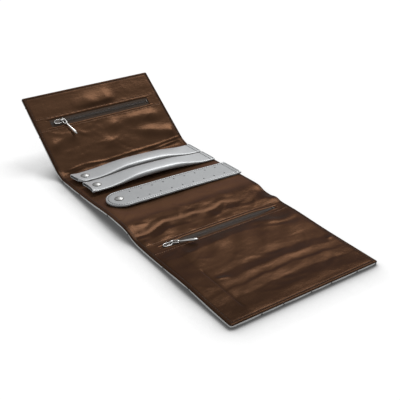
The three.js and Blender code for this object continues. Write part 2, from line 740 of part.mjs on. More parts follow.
// Ring bars and earring strap
for (const bar of bars) {
  const body = groupAt(centre, 0, bar.y, 0);
  add(body, `${bar.name}_cover`, barCover(), SILVER_LEATHER);
  add(body, `${bar.name}_core`, barCore(), CREAM_FOAM);
  add(body, `${bar.name}_snap_cap`, capBody(bar.snapX, barTongue), BRIGHT_METAL);
  add(body, `${bar.name}_snap_socket`, socketBody(bar.snapX), BRIGHT_METAL);
  add(centre, `${bar.name}_sewn_end`, sewnEnd(barAxisX, BAR_WIDTH, barTongue, bar.y), SILVER_LEATHER);
}
const strapBody = groupAt(centre, 0, strap.y, 0);
add(strapBody, "earring_strap_top", strapLayer(STRAP_LAYER + STRAP_LAYER_GAP), SILVER_LEATHER);
add(strapBody, "earring_strap_backing", strapLayer(0), SILVER_LEATHER);
add(strapBody, "earring_strap_snap_cap", capBody(strap.snapX, strapThickness), BRIGHT_METAL);
add(strapBody, "earring_strap_snap_socket", socketBody(strap.snapX), BRIGHT_METAL);
const strapSewnEnd = sewnEnd(strapAxisX, STRAP_WIDTH, strapThickness, strap.y);
add(centre, "earring_strap_sewn_end", strapSewnEnd, SILVER_LEATHER);

// Spines and flaps
addSpine(backSpine, "back_spine", CREASE_GAP, backSpineWidth - CREASE_GAP);
addSpine(frontSpine, "front_spine", -frontSpineWidth + CREASE_GAP, -frontCreaseSetback);
const backZip = {
  y: BACK_ZIP_FROM_CREASE,
  left: leftEdge + BACK_ZIP_MARGIN_LEFT,
  right: rightEdge - BACK_ZIP_MARGIN_RIGHT,
  sliderFromEnd: BACK_SLIDER_FROM_END,
  pullTurn: BACK_PULL_TURN,
};
const frontZip = {
  y: -FRONT_ZIP_FROM_CREASE,
  left: leftEdge + FRONT_ZIP_MARGIN_LEFT,
  right: rightEdge - FRONT_ZIP_MARGIN_RIGHT,
  sliderFromEnd: FRONT_SLIDER_FROM_END,
  pullTurn: FRONT_PULL_TURN,
};
addPocketFlap(backFlap, "back_flap", BACK_FLAP_LENGTH, 1, backZip);
addPocketFlap(frontFlap, "front_flap", FRONT_FLAP_LENGTH, -1, frontZip);
addZip(backFlap, "back_zip", backZip);
addZip(frontFlap, "front_zip", frontZip);

export default roll;
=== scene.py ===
"""Dresses the open jewelry roll: satin lining, quilted leather, padded ring bars, strap, zips and snaps."""

import json
import logging
import math
from collections.abc import Iterable, Sequence
from dataclasses import dataclass, field
from enum import Enum
from typing import Any

import bmesh
import bpy
import numpy as np
from mathutils import Matrix, Vector


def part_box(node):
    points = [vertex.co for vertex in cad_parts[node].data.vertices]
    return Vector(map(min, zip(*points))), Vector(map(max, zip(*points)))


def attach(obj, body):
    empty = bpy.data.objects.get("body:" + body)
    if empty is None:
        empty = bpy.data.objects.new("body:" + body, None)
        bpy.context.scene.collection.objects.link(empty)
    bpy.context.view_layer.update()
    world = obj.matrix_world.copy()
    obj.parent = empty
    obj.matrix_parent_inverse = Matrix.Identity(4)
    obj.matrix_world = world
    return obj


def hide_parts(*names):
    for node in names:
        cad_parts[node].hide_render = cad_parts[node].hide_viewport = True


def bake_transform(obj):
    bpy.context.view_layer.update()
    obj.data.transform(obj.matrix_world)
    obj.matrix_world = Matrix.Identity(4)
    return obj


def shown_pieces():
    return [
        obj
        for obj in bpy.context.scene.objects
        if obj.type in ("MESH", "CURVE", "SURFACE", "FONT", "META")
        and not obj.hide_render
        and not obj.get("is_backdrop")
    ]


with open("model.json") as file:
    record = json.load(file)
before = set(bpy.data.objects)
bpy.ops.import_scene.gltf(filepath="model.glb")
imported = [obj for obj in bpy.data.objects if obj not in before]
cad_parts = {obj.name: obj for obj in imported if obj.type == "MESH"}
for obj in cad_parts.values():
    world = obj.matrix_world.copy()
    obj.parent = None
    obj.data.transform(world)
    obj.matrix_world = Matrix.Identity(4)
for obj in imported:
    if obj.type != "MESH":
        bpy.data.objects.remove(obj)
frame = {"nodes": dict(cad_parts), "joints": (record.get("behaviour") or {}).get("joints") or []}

LOG = logging.getLogger("jewelry_roll")
Array = np.ndarray
Piece = bpy.types.Object
Material = bpy.types.Material
Colour = tuple[int, int, int]
Number = np.ndarray | float
Pairs = tuple[tuple[float, float], ...]
Triple = tuple[float, float, float]
MM = 0.001
PATCH = 0.5
"""Metres of flat material that one unit of a piece's UV map covers."""
CUT_ORIGIN = 0.2
"""Where on both axes of the UV map the flat cut's zero lies."""
SHARP = 40.0
"""Degrees past which an edge is shown sharp, where a piece says nothing else."""


class Body(str, Enum):
    """The CAD bodies that the panels and what is sewn to them move with."""

    CENTRE = "centre"
    BACK_SPINE = "back_spine"
    BACK_FLAP = "back_flap"
    FRONT_SPINE = "front_spine"
    FRONT_FLAP = "front_flap"


class Slot(str, Enum):
    """The record's material slots."""

    LEATHER = "silver_leather"
    SATIN = "brown_satin"
    POCKET = "pocket_cloth"
    BOARD = "board"
    FOAM = "foam"
    TAPE = "zip_tape"
    COIL = "zip_coil"
    METAL = "bright_metal"


def smooth(value: Number, low: float, high: float) -> Array:
    """Rises from 0 at low to 1 at high with no corner at either end."""
    t = np.clip((np.asarray(value, float) - low) / (high - low), 0.0, 1.0)
    return t * t * (3.0 - 2.0 * t)


def bell(value: Number, width: float) -> Array:
    """A bump of height 1 at 0 that has fallen to about a third at width."""
    return np.exp(-((np.asarray(value, float) / width) ** 2))


def linear(red: int, green: int, blue: int) -> tuple[float, float, float, float]:
    """A screen colour, 0 to 255, as the linear colour that a shader takes."""
    return (*(((c / 255 + 0.055) / 1.055) ** 2.4 if c > 10 else c / 3295 for c in (red, green, blue)), 1.0)


def unpaired(pairs: Pairs) -> tuple[Array, Array]:
    """The first and the second numbers of pairs, as two arrays."""
    first, second = zip(*pairs)
    return np.array(first), np.array(second)


def read_off(pairs: Pairs, at: Number) -> Array:
    """Values at some places, from pairs of place and value: straight between them, level past the ends."""
    return np.interp(at, *unpaired(pairs))


def crossings(across: Array, along: Array) -> Sequence[Array]:
    """The two coordinates of every crossing of the lines of a grid."""
    return np.meshgrid(across, along, indexing="ij")


def side_by_side(x: Array, s: Array) -> Array:
    """Two coordinates as one row of two for each point."""
    return np.stack([x, s], axis=-1).reshape(-1, 2)


def round_angles(count: int) -> Array:
    """Angles evenly round a circle."""
    return np.linspace(0, 2 * math.pi, count, endpoint=False)


class Socket:
    """A node's output that takes part in Python arithmetic, each step of which adds a Math node."""

    def __init__(self, graph: "Graph", link: bpy.types.NodeSocket) -> None:
        """Keeps the output and the graph that its arithmetic is added to."""
        self.graph = graph
        self.link = link

    def maths(self, operation: str, *values: "Socket | float") -> "Socket":
        """The result of a Math node on these values."""
        return self.graph.node("ShaderNodeMath", dict(enumerate(values)), operation=operation)

    def __add__(self, other: "Socket | float") -> "Socket":
        """self + other."""
        return self.maths("ADD", self, other)

    def __sub__(self, other: "Socket | float") -> "Socket":
        """self - other."""
        return self.maths("SUBTRACT", self, other)

    def __mul__(self, other: "Socket | float") -> "Socket":
        """self * other."""
        return self.maths("MULTIPLY", self, other)

    def __rsub__(self, other: "Socket | float") -> "Socket":
        """other - self."""
        return self.maths("SUBTRACT", other, self)

    def __neg__(self) -> "Socket":
        """-self."""
        return self.maths("MULTIPLY", self, -1.0)

    __radd__ = __add__
    __rmul__ = __mul__

    def sibling(self, name: str | int) -> "Socket":
        """Another output of the same node."""
        return Socket(self.graph, self.link.node.outputs[name])

    def bump(self, width: "Socket | float") -> "Socket":
        """A bell over this value, 1 at 0 and about a third at width."""
        ratio = self.maths("DIVIDE", self, width)
        return self.maths("EXPONENT", -(ratio * ratio))


class Graph:
    """A node tree, of a shader or of geometry, that is built one node at a time."""

    def __init__(self, tree: bpy.types.NodeTree) -> None:
        """Starts from an empty tree."""
        self.tree = tree
        self.tree.nodes.clear()

    def node(
        self, kind: str, values: dict[str | int, Any] | None = None, output: str | int = 0, **settings: Any
    ) -> Socket:
        """Adds a node.

        Args:
            kind: The node's type.
            values: Links or plain values of its inputs, by name or place.
            output: The output to hand on, by name or place.
            settings: Its properties, which are set first.

        Returns:
            That output, or the node's first input where it has no output.
        """
        node = self.tree.nodes.new(kind)
        for name, value in settings.items():
            setattr(node, name, value)
        for name, value in (values or {}).items():
            if isinstance(value, Socket):
                self.tree.links.new(value.link, node.inputs[name])
            else:
                node.inputs[name].default_value = value
        return Socket(self, node.outputs[output] if len(node.outputs) else node.inputs[0])


class Finish(Graph):
    """A procedural material on one surface shader."""

    def __init__(self, name: str) -> None:
        """Starts an empty material of that name."""
        self.material = bpy.data.materials.new(name)
        self.material.use_nodes = True
        super().__init__(self.material.node_tree)

    def on_cut(self) -> Socket:
        """Where a point lies on the flat cut, in metres."""
        uv = self.node("ShaderNodeUVMap", uv_map="Cut")
        return self.node("ShaderNodeVectorMath", {0: uv, "Scale": PATCH}, operation="SCALE")

    def in_space(self) -> Socket:
        """Where a point lies in the piece's own space, in metres."""
        return self.node("ShaderNodeTexCoord", output="Object")

    def carried(self, name: str) -> Socket:
        """A number that the mesh carries at its points."""
        return self.node("ShaderNodeAttribute", output="Fac", attribute_name=name)

    def noise(self, place: Socket, size: float, detail: float = 2.0, stretch: Sequence[float] = ()) -> Socket:
        """Soft random values from 0 to 1.

        Args:
            place: Where a point lies, in metres.
            size: About how large the blotches are, in metres.
            detail: How many finer layers they have.
            stretch: What each direction is multiplied by first.

        Returns:
            The values.
        """
        if stretch:
            place = self.node("ShaderNodeVectorMath", {0: place, 1: stretch}, operation="MULTIPLY")
        values = {"Vector": place, "Scale": 1.0 / size, "Detail": detail, "Roughness": 0.55}
        return self.node("ShaderNodeTexNoise", values)

    def blend(self, factor: Socket, first: Any, second: Any) -> Socket:
        """Two linear colours mixed, from first where factor is 0 to second where it is 1."""
        mix = {0: factor, 6: first, 7: second}
        return self.node("ShaderNodeMix", mix, 2, data_type="RGBA", clamp_factor=True)

    def tint(self, factor: Socket, first: Colour, second: Colour) -> Socket:
        """Two screen colours mixed, from first where factor is 0 to second where it is 1."""
        return self.blend(factor, linear(*first), linear(*second))

    def relief(self, height: Socket, depth: float, strength: float) -> Socket:
        """A bumped normal from heights of 0 to 1 that stand for depth metres."""
        return self.node("ShaderNodeBump", {"Height": height, "Distance": depth, "Strength": strength})

    def surface(self, **values: Any) -> Material:
        """Ends the material in a Principled shader with these socket values, underscores for spaces."""
        named = {name.replace("_", " "): value for name, value in values.items()}
        shader = self.node("ShaderNodeBsdfPrincipled", named)
        self.node("ShaderNodeOutputMaterial", {"Surface": shader})
        return self.material


@dataclass(frozen=True)
class Satin:
    """Slippery satin whose shine has the colour of its thread, with painted light and painted shade in its
    colour: brighter where the cloth turns to the light and darker where it turns away.
    """

    name: str
    colour: Colour
    deep: Colour
    glint: Colour = (170, 124, 97)
    shine: float = 0.28
    roughness: float = 0.16
    thread: float = 0.00035

    def material(self) -> Material:
        """Builds the satin on the flat cut."""
        finish = Finish(self.name)
        place = finish.on_cut()
        warp = finish.noise(place, self.thread, 1.0, (1.0, 0.12, 1.0))
        weft = finish.noise(place, self.thread, 1.0, (0.2, 1.0, 1.0))
        mottle = finish.noise(place, 0.03, 4.0)
        slub = finish.noise(place, 0.0012, 2.0, (1.0, 0.05, 1.0))
        rumple = finish.noise(place, 0.005, 3.0, (0.6, 1.0, 1.0))
        # The carried number adds painted highlight and painted shade; mottle, slub and warp are the cloth's
        # own tone.
        tone = 0.16 * mottle + 0.2 * slub + 0.1 * warp + 0.84 * finish.carried("nap") - 0.2
        return finish.surface(
            Base_Color=finish.tint(tone, self.deep, self.colour),
            Metallic=self.shine,
            Roughness=self.roughness + 0.12 * mottle + 0.04 * warp,
            Specular_IOR_Level=0.02,
            Specular_Tint=linear(*self.glint),
            Normal=finish.relief(0.05 * warp + 0.03 * weft + 0.92 * rumple, 0.0003, 0.8),
        )


@dataclass(frozen=True)
class PearlLeather:
    """Silver-grey coated leather with a fine pebble grain, and painted shade in the quilting's channels where
    stitches press it.
    """

    name: str
    colour: Colour
    shade: Colour
    painted_channel_shade: Colour = (84, 84, 86)
    grain: float = 0.0011

    def material(self) -> Material:
        """Builds the leather on its flat cut."""
        finish = Finish(self.name)
        place = finish.on_cut()
        cells = {"Vector": place, "Scale": 1.0 / self.grain, "Randomness": 1.0}
        pebble = finish.node("ShaderNodeTexVoronoi", cells, "Distance", feature="SMOOTH_F1")
        mottle = finish.noise(place, 0.022, 5.0)
        wander = finish.noise(place, 0.004)
        pores = finish.noise(place, 0.00045)
        grained = finish.tint(0.7 * mottle + 0.3 * pebble, self.colour, self.shade)
        # press masks the painted shade in the quilting's channels.
        press = finish.carried("press")
        return finish.surface(
            Base_Color=finish.blend(0.55 * press * press, grained, linear(*self.painted_channel_shade)),
            Metallic=0.3,
            Roughness=0.3 + 0.12 * mottle + 0.08 * wander,
            Specular_IOR_Level=0.5,
            Coat_Weight=0.12,
            Coat_Roughness=0.3,
            Normal=finish.relief(0.75 * pebble + 0.25 * pores, 0.00012, 0.55),
        )


@dataclass(frozen=True)
class Plating:
    """Nickel plate, with faint polishing marks and a dulled bloom."""

    name: str
    colour: Colour
    dull: Colour
    roughness: float

    def material(self) -> Material:
        """Builds the plate in the piece's own space."""
        finish = Finish(self.name)
        place = finish.in_space()
        bloom = finish.noise(place, 0.004, 4.0)
        marks = finish.noise(place, 0.0009, 3.0, (1.0, 6.0, 6.0))
        return finish.surface(
            Base_Color=finish.tint(bloom, self.colour, self.dull),
            Metallic=1.0,
            Roughness=self.roughness + 0.1 * bloom + 0.06 * marks,
            Normal=finish.relief(marks, 0.00001, 0.3),
        )


@dataclass(frozen=True)
class Woven:
    """A plain woven cloth or tape: crossing threads with a little fuzz."""

    name: str
    colour: Colour
    deep: Colour
    thread: float
    roughness: float = 0.8

    def material(self) -> Material:
        """Builds the weave on the flat cut."""
        finish = Finish(self.name)
        place = finish.on_cut()
        rows = {"Vector": place, "Scale": 0.314 / self.thread, "Distortion": 0.4, "Detail": 1.0}
        warp, weft = (finish.node("ShaderNodeTexWave", rows, bands_direction=way) for way in "XY")
        fuzz = finish.noise(place, 0.0025, 4.0)
        weave = 0.5 * warp + 0.5 * weft
        return finish.surface(
            Base_Color=finish.tint(0.6 * weave + 0.4 * fuzz, self.deep, self.colour),
            Roughness=self.roughness + 0.15 * fuzz,
            Specular_IOR_Level=0.2,
            Normal=finish.relief(weave, 0.0001, 0.6),
        )


@dataclass(frozen=True)
class Moulded:
    """Smooth coloured stuff: coil wire, thread, board or foam."""

    name: str
    colour: Colour
    deep: Colour
    roughness: float
    blotch: float

    def material(self) -> Material:
        """Builds the finish in the piece's own space."""
        finish = Finish(self.name)
        place = finish.in_space()
        blotch = finish.noise(place, self.blotch, 4.0)
        fine = finish.noise(place, self.blotch * 0.2)
        return finish.surface(
            Base_Color=finish.tint(0.7 * blotch + 0.3 * fine, self.deep, self.colour),
            Roughness=self.roughness + 0.12 * blotch,
            Normal=finish.relief(fine, self.blotch * 0.03, 0.4),
        )


def made_of(finish: Any) -> Any:
    """A field that holds a finish's material, built with the class that has the field."""
    return field(default_factory=finish.material)


@dataclass(frozen=True)
class Finishes:
    """Every material of the roll, each made once."""

    satin: Material = made_of(Satin("brown_satin", (88, 63, 46), (48, 33, 23)))
    leather: Material = made_of(PearlLeather("silver_leather", (150, 152, 153), (127, 129, 131)))
    # A lighter copy of the silver leather: painted light on the bars' tops.
    bar_leather: Material = made_of(PearlLeather("bar_leather", (166, 168, 169), (145, 147, 149)))
    # A lighter copy of the silver leather: painted light on the shell's rim and outside.
    outer_leather_painted_lighter: Material = made_of(PearlLeather("outer_leather_painted_lighter", (184, 185, 184), (156, 157, 157)))
    metal: Material = made_of(Plating("bright_metal", (176, 175, 173), (150, 149, 147), 0.09))
    # A darker, rougher copy of the plate: the darker colour is painted shade that dims the lamp's reflection
    # on the caps.
    cap_metal_painted_darker: Material = made_of(Plating("cap_metal_painted_darker", (148, 148, 147), (116, 116, 115), 0.35))
    # A dark plate that stands for shade: painted shade round the snap caps, in the slider's middle and on the
    # zip's stop.
    dark_metal: Material = made_of(Plating("dark_metal", (74, 70, 67), (52, 49, 47), 0.29))
    tape: Material = made_of(Woven("zip_tape", (74, 60, 50), (44, 35, 28), 0.0006))
    coil: Material = made_of(Moulded("zip_coil", (66, 55, 47), (46, 37, 31), 0.4, 0.0015))
    pocket: Material = made_of(Woven("pocket_cloth", (66, 47, 35), (44, 31, 23), 0.0005))
    board: Material = made_of(Moulded("board", (146, 139, 128), (118, 111, 101), 0.82, 0.004))
    foam: Material = made_of(Moulded("foam", (222, 212, 188), (196, 184, 158), 0.86, 0.002))
    brown_thread: Material = made_of(Moulded("brown_thread", (48, 32, 23), (32, 21, 15), 0.54, 0.0006))
    gold_thread: Material = made_of(Moulded("gold_thread", (146, 106, 78), (104, 74, 52), 0.44, 0.0006))
    grey_thread: Material = made_of(Moulded("grey_thread", (38, 38, 40), (24, 24, 26), 0.64, 0.0006))


def linked(name: str, data: bpy.types.ID) -> Piece:
    """Puts a new object with this mesh, lamp or camera into the scene, at the origin."""
    made = bpy.data.objects.new(name, data)
    bpy.context.scene.collection.objects.link(made)
    return made


def make_mesh(
    name: str,
    points: Array,
    faces: Sequence[Sequence[int]] | Array,
    material: Material,
    cut: Array | None = None,
    sharp: float = SHARP,
) -> Piece:
    """Makes a smooth-shaded mesh object in the shared frame.

    Args:
        name: The object's name.
        points: Its vertices.
        faces: Its faces as rows of vertex numbers.
        material: Its finish.
        cut: For each vertex its place on the flat cut, in mm, where the finish follows that.
        sharp: The angle in degrees past which an edge is shown sharp.

    Returns:
        The object.
    """
    mesh = bpy.data.meshes.new(name)
    rows = [list(map(int, face)) for face in faces]
    mesh.from_pydata(np.asarray(points, float).reshape(-1, 3).tolist(), [], rows)
    mesh.validate()
    if cut is not None:
        corner = np.empty(len(mesh.loops), np.int32)
        mesh.loops.foreach_get("vertex_index", corner)
        flat = np.asarray(cut, float).reshape(-1, 2)[corner] * (MM / PATCH) + CUT_ORIGIN
        mesh.uv_layers.new(name="Cut").data.foreach_set("uv", flat.astype(np.float32).ravel())
    mesh.materials.append(material)
    mesh.shade_smooth()
    mesh.set_sharp_from_angle(angle=math.radians(sharp))
    return linked(name, mesh)


def settle(piece: Piece, sharp: float = SHARP) -> Piece:
    """Turns a piece's modifiers into plain mesh and removes them.

    Args:
        piece: The piece.
        sharp: The angle in degrees past which an edge is shown sharp.

    Returns:
        The piece.
    """
    graph = bpy.context.evaluated_depsgraph_get()
    graph.update()
    solid = bpy.data.meshes.new_from_object(piece.evaluated_get(graph), depsgraph=graph)
    solid.shade_smooth()
    solid.set_sharp_from_angle(angle=math.radians(sharp))
    spent = piece.data
    piece.modifiers.clear()
    piece.data = solid
    bpy.data.meshes.remove(spent)
    solid.name = piece.name
    return piece


def points_of(piece: Piece) -> Array:
    """The vertices of a piece, one after the other."""
    flat = np.empty(len(piece.data.vertices) * 3)
    piece.data.vertices.foreach_get("co", flat)
    return flat


def move_points(piece: Piece, points: Array) -> None:
    """Gives a piece's vertices new places."""
    piece.data.vertices.foreach_set("co", points.ravel())
    piece.data.update()


def carry(piece: Piece, name: str, values: Array) -> None:
    """Stores a number, or three, at each vertex of a piece for its finish or its recipe."""
    kind, key = ("FLOAT", "value") if values.ndim == 1 else ("FLOAT_VECTOR", "vector")
    kept = piece.data.attributes.new(name, kind, "POINT")
    kept.data.foreach_set(key, values.astype(np.float32).ravel())


def fasten(piece: Piece, body: str, slot: Slot | None = None, node: str = "") -> None:
    """Lets a piece ride on a body.

    Args:
        piece: The piece.
        body: The body's name.
        slot: The record's slot of its finish, where it stands for a CAD node.
        node: That node.
    """
    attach(piece, body)
    if slot:
        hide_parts(node)


def grid_faces(rows: int, columns: int, keep: Array | None = None, closed: bool = False) -> Array:
    """Quads over a grid of points whose rows run along x and columns across, facing up.

    Args:
        rows: Points one way.
        columns: Points the other way.
        keep: Which cells have a face, if not all.
        closed: Whether the last column joins the first.

    Returns:
        A row of four vertex numbers for each face.
    """
    number = np.arange(rows * columns).reshape(rows, columns)
    if closed:
        number = np.concatenate([number, number[:, :1]], axis=1)
    quads = np.stack([number[:-1, :-1], number[1:, :-1], number[1:, 1:], number[:-1, 1:]], axis=-1)
    return quads.reshape(-1, 4) if keep is None else quads[keep]


def trimmed(points: Array, faces: Array, cut: Array) -> tuple[Array, Array, Array]:
    """Leaves out the points that no face uses, from the points, the faces and the flat cut."""
    used = np.unique(faces)
    renumber = np.full(len(points), -1)
    renumber[used] = np.arange(len(used))
    return points[used], renumber[faces], cut[used]


def thicken(piece: Piece, thickness: float, even: bool = True) -> None:
    """Adds a wall below a sheet's faces, in the sheet's own unit, that may stay even round bends."""
    wall = piece.modifiers.new("Wall", "SOLIDIFY")
    wall.thickness, wall.offset, wall.use_even_offset = thickness, -1.0, even


@dataclass(frozen=True)
class Swell:
    """A broad rise, or a dip, of the whole thickness of the roll, in mm on the flat strip."""

    x: float
    s: float
    height: float
    across: float
    along: float

    def rise(self, x: Array, s: Array) -> Array:
        """How far it lifts points of the flat strip."""
        return self.height * bell(x - self.x, self.across) * bell(s - self.s, self.along)


@dataclass
class Strip:
    """The open roll as one flat strip, in mm: x across, s along from the front edge, h up from the lining."""

    round_back: float = 3.2
    bend_back: float = 5.5
    round_front: float = 9.0
    corner: float = 3.0
    swells: tuple[Swell, ...] = (
        Swell(-100, 228, 3.0, 34, 44),
        Swell(-100, 76, 1.8, 40, 36),
        Swell(100, 130, 1.7, 14, 34),
        Swell(100, 164.5, 2.9, 14, 7),
        Swell(100, 187, -2.0, 15, 8),
    )

    def __post_init__(self) -> None:
        """Takes the creases and edges from the frame and tabulates the strip's side view."""
        joints = {joint["name"]: joint for joint in frame["joints"]}
        creases = ("front_flap_crease", "front_fold", "back_fold", "back_flap_crease")
        pins = [np.array(joints[name]["pos_m"][1:]) / MM for name in creases]
        normal = np.array(joints["back_link_turn"]["axis"][1:])
        thickness = float(pins[0][1])
        self.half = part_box("front_flap_leather")[1].x / MM
        front = np.array([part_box("front_flap_leather")[0].y / MM, thickness])
        up_slope = np.array([normal[1], -normal[0]])
        overhang = -normal[0] * thickness
        reach = (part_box("back_flap_leather")[1].y / MM - pins[3][0] - overhang) / up_slope[0]
        corners = [front, *pins, pins[3] + up_slope * reach]
        steps = [np.linalg.norm(b - a) for a, b in zip(corners, corners[1:])]
        self.stations = np.concatenate([[0.0], np.cumsum(steps)])
        self.length = float(self.stations[-1])
        self.flap_fold, self.front_fold, self.back_fold, self.back_crease = self.stations[1:5]
        self._tabulate(np.array(corners))

    def _tabulate(self, corners: Array) -> None:
        """Samples the side view, given by its corners' y and z, with its creases rounded."""
        s = np.linspace(0.0, self.length, int(self.length * 10) + 1)
        side = np.stack([np.interp(s, self.stations, corners[:, k]) for k in (0, 1)], axis=-1)
        for i, reach in zip(range(1, 5), (self.round_front,) * 2 + (self.round_back,) * 2):
            before, after = (corners[i] - corners[i - 1]), (corners[i + 1] - corners[i])
            start = corners[i] - reach * before / np.linalg.norm(before)
            end = corners[i] + reach * after / np.linalg.norm(after)
            near = np.abs(s - self.stations[i]) < reach
            t = ((s[near] - self.stations[i] + reach) / (2 * reach))[:, None]
            side[near] = (1 - t) ** 2 * start + 2 * t * (1 - t) * corners[i] + t**2 * end
        slope = np.gradient(side, s, axis=0)
        slope /= np.linalg.norm(slope, axis=1)[:, None]
        self._table = np.column_stack([s, side, slope])

    def bow(self, x: Array, s: Array) -> Array:
        """How far the whole roll rises at points of the flat strip."""
        return sum(swell.rise(x, s) for swell in self.swells)

    def place(self, x: Number, s: Number, h: Number) -> Array:
        """Points of the flat strip in the shared frame.

        Args:
            x, s, h: Their places across and along, and their heights over the lining.

        Returns:
            The points in metres.
        """
        x, s, h = np.broadcast_arrays(*(np.asarray(v, float) for v in (x, s, h)))
        y, z, ty, tz = (np.interp(s, self._table[:, 0], self._table[:, k]) for k in range(1, 5))
        return np.stack([x, y - h * tz, z + h * ty], axis=-1) * MM

    def raised(self, x: Number, s: Number, h: Number) -> Array:
        """Points of the flat strip in the shared frame, in metres, lifted with the whole roll."""
        return self.place(x, s, h + self.bow(x, s))

    def rounded(self, x: Array, s: Array) -> tuple[Array, Array]:
        """Draws points near the strip's four corners in to a round corner."""
        mid = self.length / 2
        a = self.corner - (self.half - np.abs(x))
        b = self.corner - (mid - np.abs(s - mid))
        near = (a > 0) & (b > 0)
        reach = np.hypot(np.where(near, a, 1), np.where(near, b, 1))
        scale = np.where(near, np.maximum(a, b) / reach, 1.0)
        x = np.where(near, np.sign(x) * (self.half - self.corner + a * scale), x)
        s = np.where(near, mid + np.sign(s - mid) * (mid - self.corner + b * scale), s)
        return x, s

    def station(self, node: str) -> float:
        """How far along the strip the middle of a CAD node lies."""
        low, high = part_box(node)
        middle = np.array((low + high) / 2)[1:] / MM
        return float(self._table[np.argmin(np.sum((self._table[:, 1:3] - middle) ** 2, axis=1)), 0])

    def edge(self, x: Array, s: Array) -> Array:
        """Distance of a point from the strip's nearest edge."""
        return np.minimum(self.half - np.abs(x), np.minimum(s, self.length - s))


@dataclass(frozen=True)
class Stretch:
    """A length of the strip that crosses one crease between two bodies, in mm."""

    name: str
    start: float
    end: float
    before: Body
    after: Body
    crease: float
    reach: float

    @property
    def panels(self) -> tuple[str, ...]:
        """The CAD panels that it covers."""
        return (self.name, Body.BACK_SPINE.value) if self.name == Body.CENTRE.value else (self.name,)

    def bend(self, piece: Piece, strip: Strip) -> None:
        """Bakes a piece of this stretch into its mesh where it lies; it is not set to follow the bodies on
        either side of its crease.
        """
        start, end = (strip.place(0.0, self.crease + way * self.reach, 0.0) for way in (-1, 1))
        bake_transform(piece)


def stretches(strip: Strip) -> list[Stretch]:
    """The four lengths that the lining and the leather are made in, split where no fold shows."""
    names = ("front_flap", "front_spine", "centre", "back_flap")
    bodies = (Body.FRONT_FLAP, Body.FRONT_SPINE, Body.CENTRE, Body.BACK_SPINE, Body.BACK_FLAP)
    front_middle = (strip.flap_fold + strip.front_fold) / 2
    back_middle = (strip.back_fold + strip.back_crease) / 2
    ends = (0.0, front_middle, strip.station("earring_strap_sewn_end"), back_middle, strip.length)
    reaches = (strip.round_front,) * 2 + (strip.bend_back,) * 2
    spans = zip(names, ends, ends[1:], bodies, bodies[1:], strip.stations[1:5], reaches)
    return [Stretch(*span) for span in spans]


class Recipe(Graph):
    """A Geometry Nodes tree with named inputs."""

    def __init__(self, name: str, numbers: Iterable[str], counts: Iterable[str] = ()) -> None:
        """Starts a tree that takes a mesh, numbers and a material.

        Args:
            name: The tree's name.
            numbers: The names of its number inputs.
            counts: The names of its whole-number inputs.
        """
        super().__init__(bpy.data.node_groups.new(name, "GeometryNodeTree"))
        panel = self.tree.interface
        panel.new_socket("Geometry", in_out="INPUT", socket_type="NodeSocketGeometry")
        inputs = {"NodeSocketFloat": numbers, "NodeSocketInt": counts, "NodeSocketMaterial": ("Material",)}
        for kind, labels in inputs.items():
            for label in labels:
                panel.new_socket(label, in_out="INPUT", socket_type=kind)
        panel.new_socket("Geometry", in_out="OUTPUT", socket_type="NodeSocketGeometry")
        self._given = self.tree.nodes.new("NodeGroupInput")

    def given(self, name: str) -> Socket:
        """One of the tree's inputs."""
        return Socket(self, self._given.outputs[name])

    def vector(self, x: Any = 0.0, y: Any = 0.0, z: Any = 0.0) -> Socket:
        """A vector of three values or links."""
        return self.node("ShaderNodeCombineXYZ", {0: x, 1: y, 2: z})

    def end(self, geometry: Socket) -> "Recipe":
        """Closes the tree with real mesh in the given material."""
        real = self.node("GeometryNodeRealizeInstances", {"Geometry": geometry})
        dressed = {"Geometry": real, "Material": self.given("Material")}
        self.node("NodeGroupOutput", {0: self.node("GeometryNodeSetMaterial", dressed)})
        return self

    def put_on(self, piece: Piece, **values: Any) -> Piece:
        """Puts the tree, with its inputs by name, on a piece as a modifier that is still to be settled."""
        modifier = piece.modifiers.new(self.tree.name, "NODES")
        modifier.node_group = self.tree
        for item in self.tree.interface.items_tree:
            if item.in_out == "INPUT" and item.name in values:
                modifier[item.identifier] = values[item.name]
        return piece


def stitch_recipe() -> Recipe:
    """Rounded stitches end to end along every line of a mesh of edges."""
    recipe = Recipe("Stitches", ("Pitch", "Length", "Girth"))
    line = recipe.node("GeometryNodeMeshToCurve", {"Mesh": recipe.given("Geometry")})
    spread = {"Curve": line, "Length": recipe.given("Pitch")}
    spots = recipe.node("GeometryNodeCurveToPoints", spread, "Points", mode="LENGTH")
    ahead = {"Vector": spots.sibling("Tangent")}
    turn = recipe.node("FunctionNodeAlignRotationToVector", ahead, axis="X")
    bead = recipe.node("GeometryNodeMeshUVSphere", {"Segments": 8, "Rings": 5, "Radius": 0.5})
    girth = recipe.given("Girth")
    size = recipe.vector(recipe.given("Length"), girth, girth)
    stitch = recipe.node("GeometryNodeTransform", {"Geometry": bead, "Scale": size})
    row = {"Points": spots, "Instance": stitch, "Rotation": turn}
    return recipe.end(recipe.node("GeometryNodeInstanceOnPoints", row))


def coil_recipe() -> Recipe:
    """One half of a zip: a flattened spiral of wire along x."""
    recipe = Recipe("Zip coil", ("Run", "Width", "Height", "Wire", "Turns"))
    spiral = {
        "Resolution": 10,
        "Rotations": recipe.given("Turns"),
        "Start Radius": 0.5,
        "End Radius": 0.5,
        "Height": recipe.given("Run"),
    }
    turns = recipe.node("GeometryNodeCurveSpiral", spiral)
    flat = recipe.vector(recipe.given("Height"), recipe.given("Width"), 1.0)
    pressed = recipe.node("GeometryNodeTransform", {"Geometry": turns, "Scale": flat})
    lying = {"Geometry": pressed, "Rotation": (0.0, math.pi / 2, 0.0)}
    along = recipe.node("GeometryNodeTransform", lying)
    section = {"Resolution": 6, "Radius": recipe.given("Wire")}
    wire = recipe.node("GeometryNodeCurvePrimitiveCircle", section)
    drawn = {"Curve": along, "Profile Curve": wire, "Fill Caps": True}
    return recipe.end(recipe.node("GeometryNodeCurveToMesh", drawn))


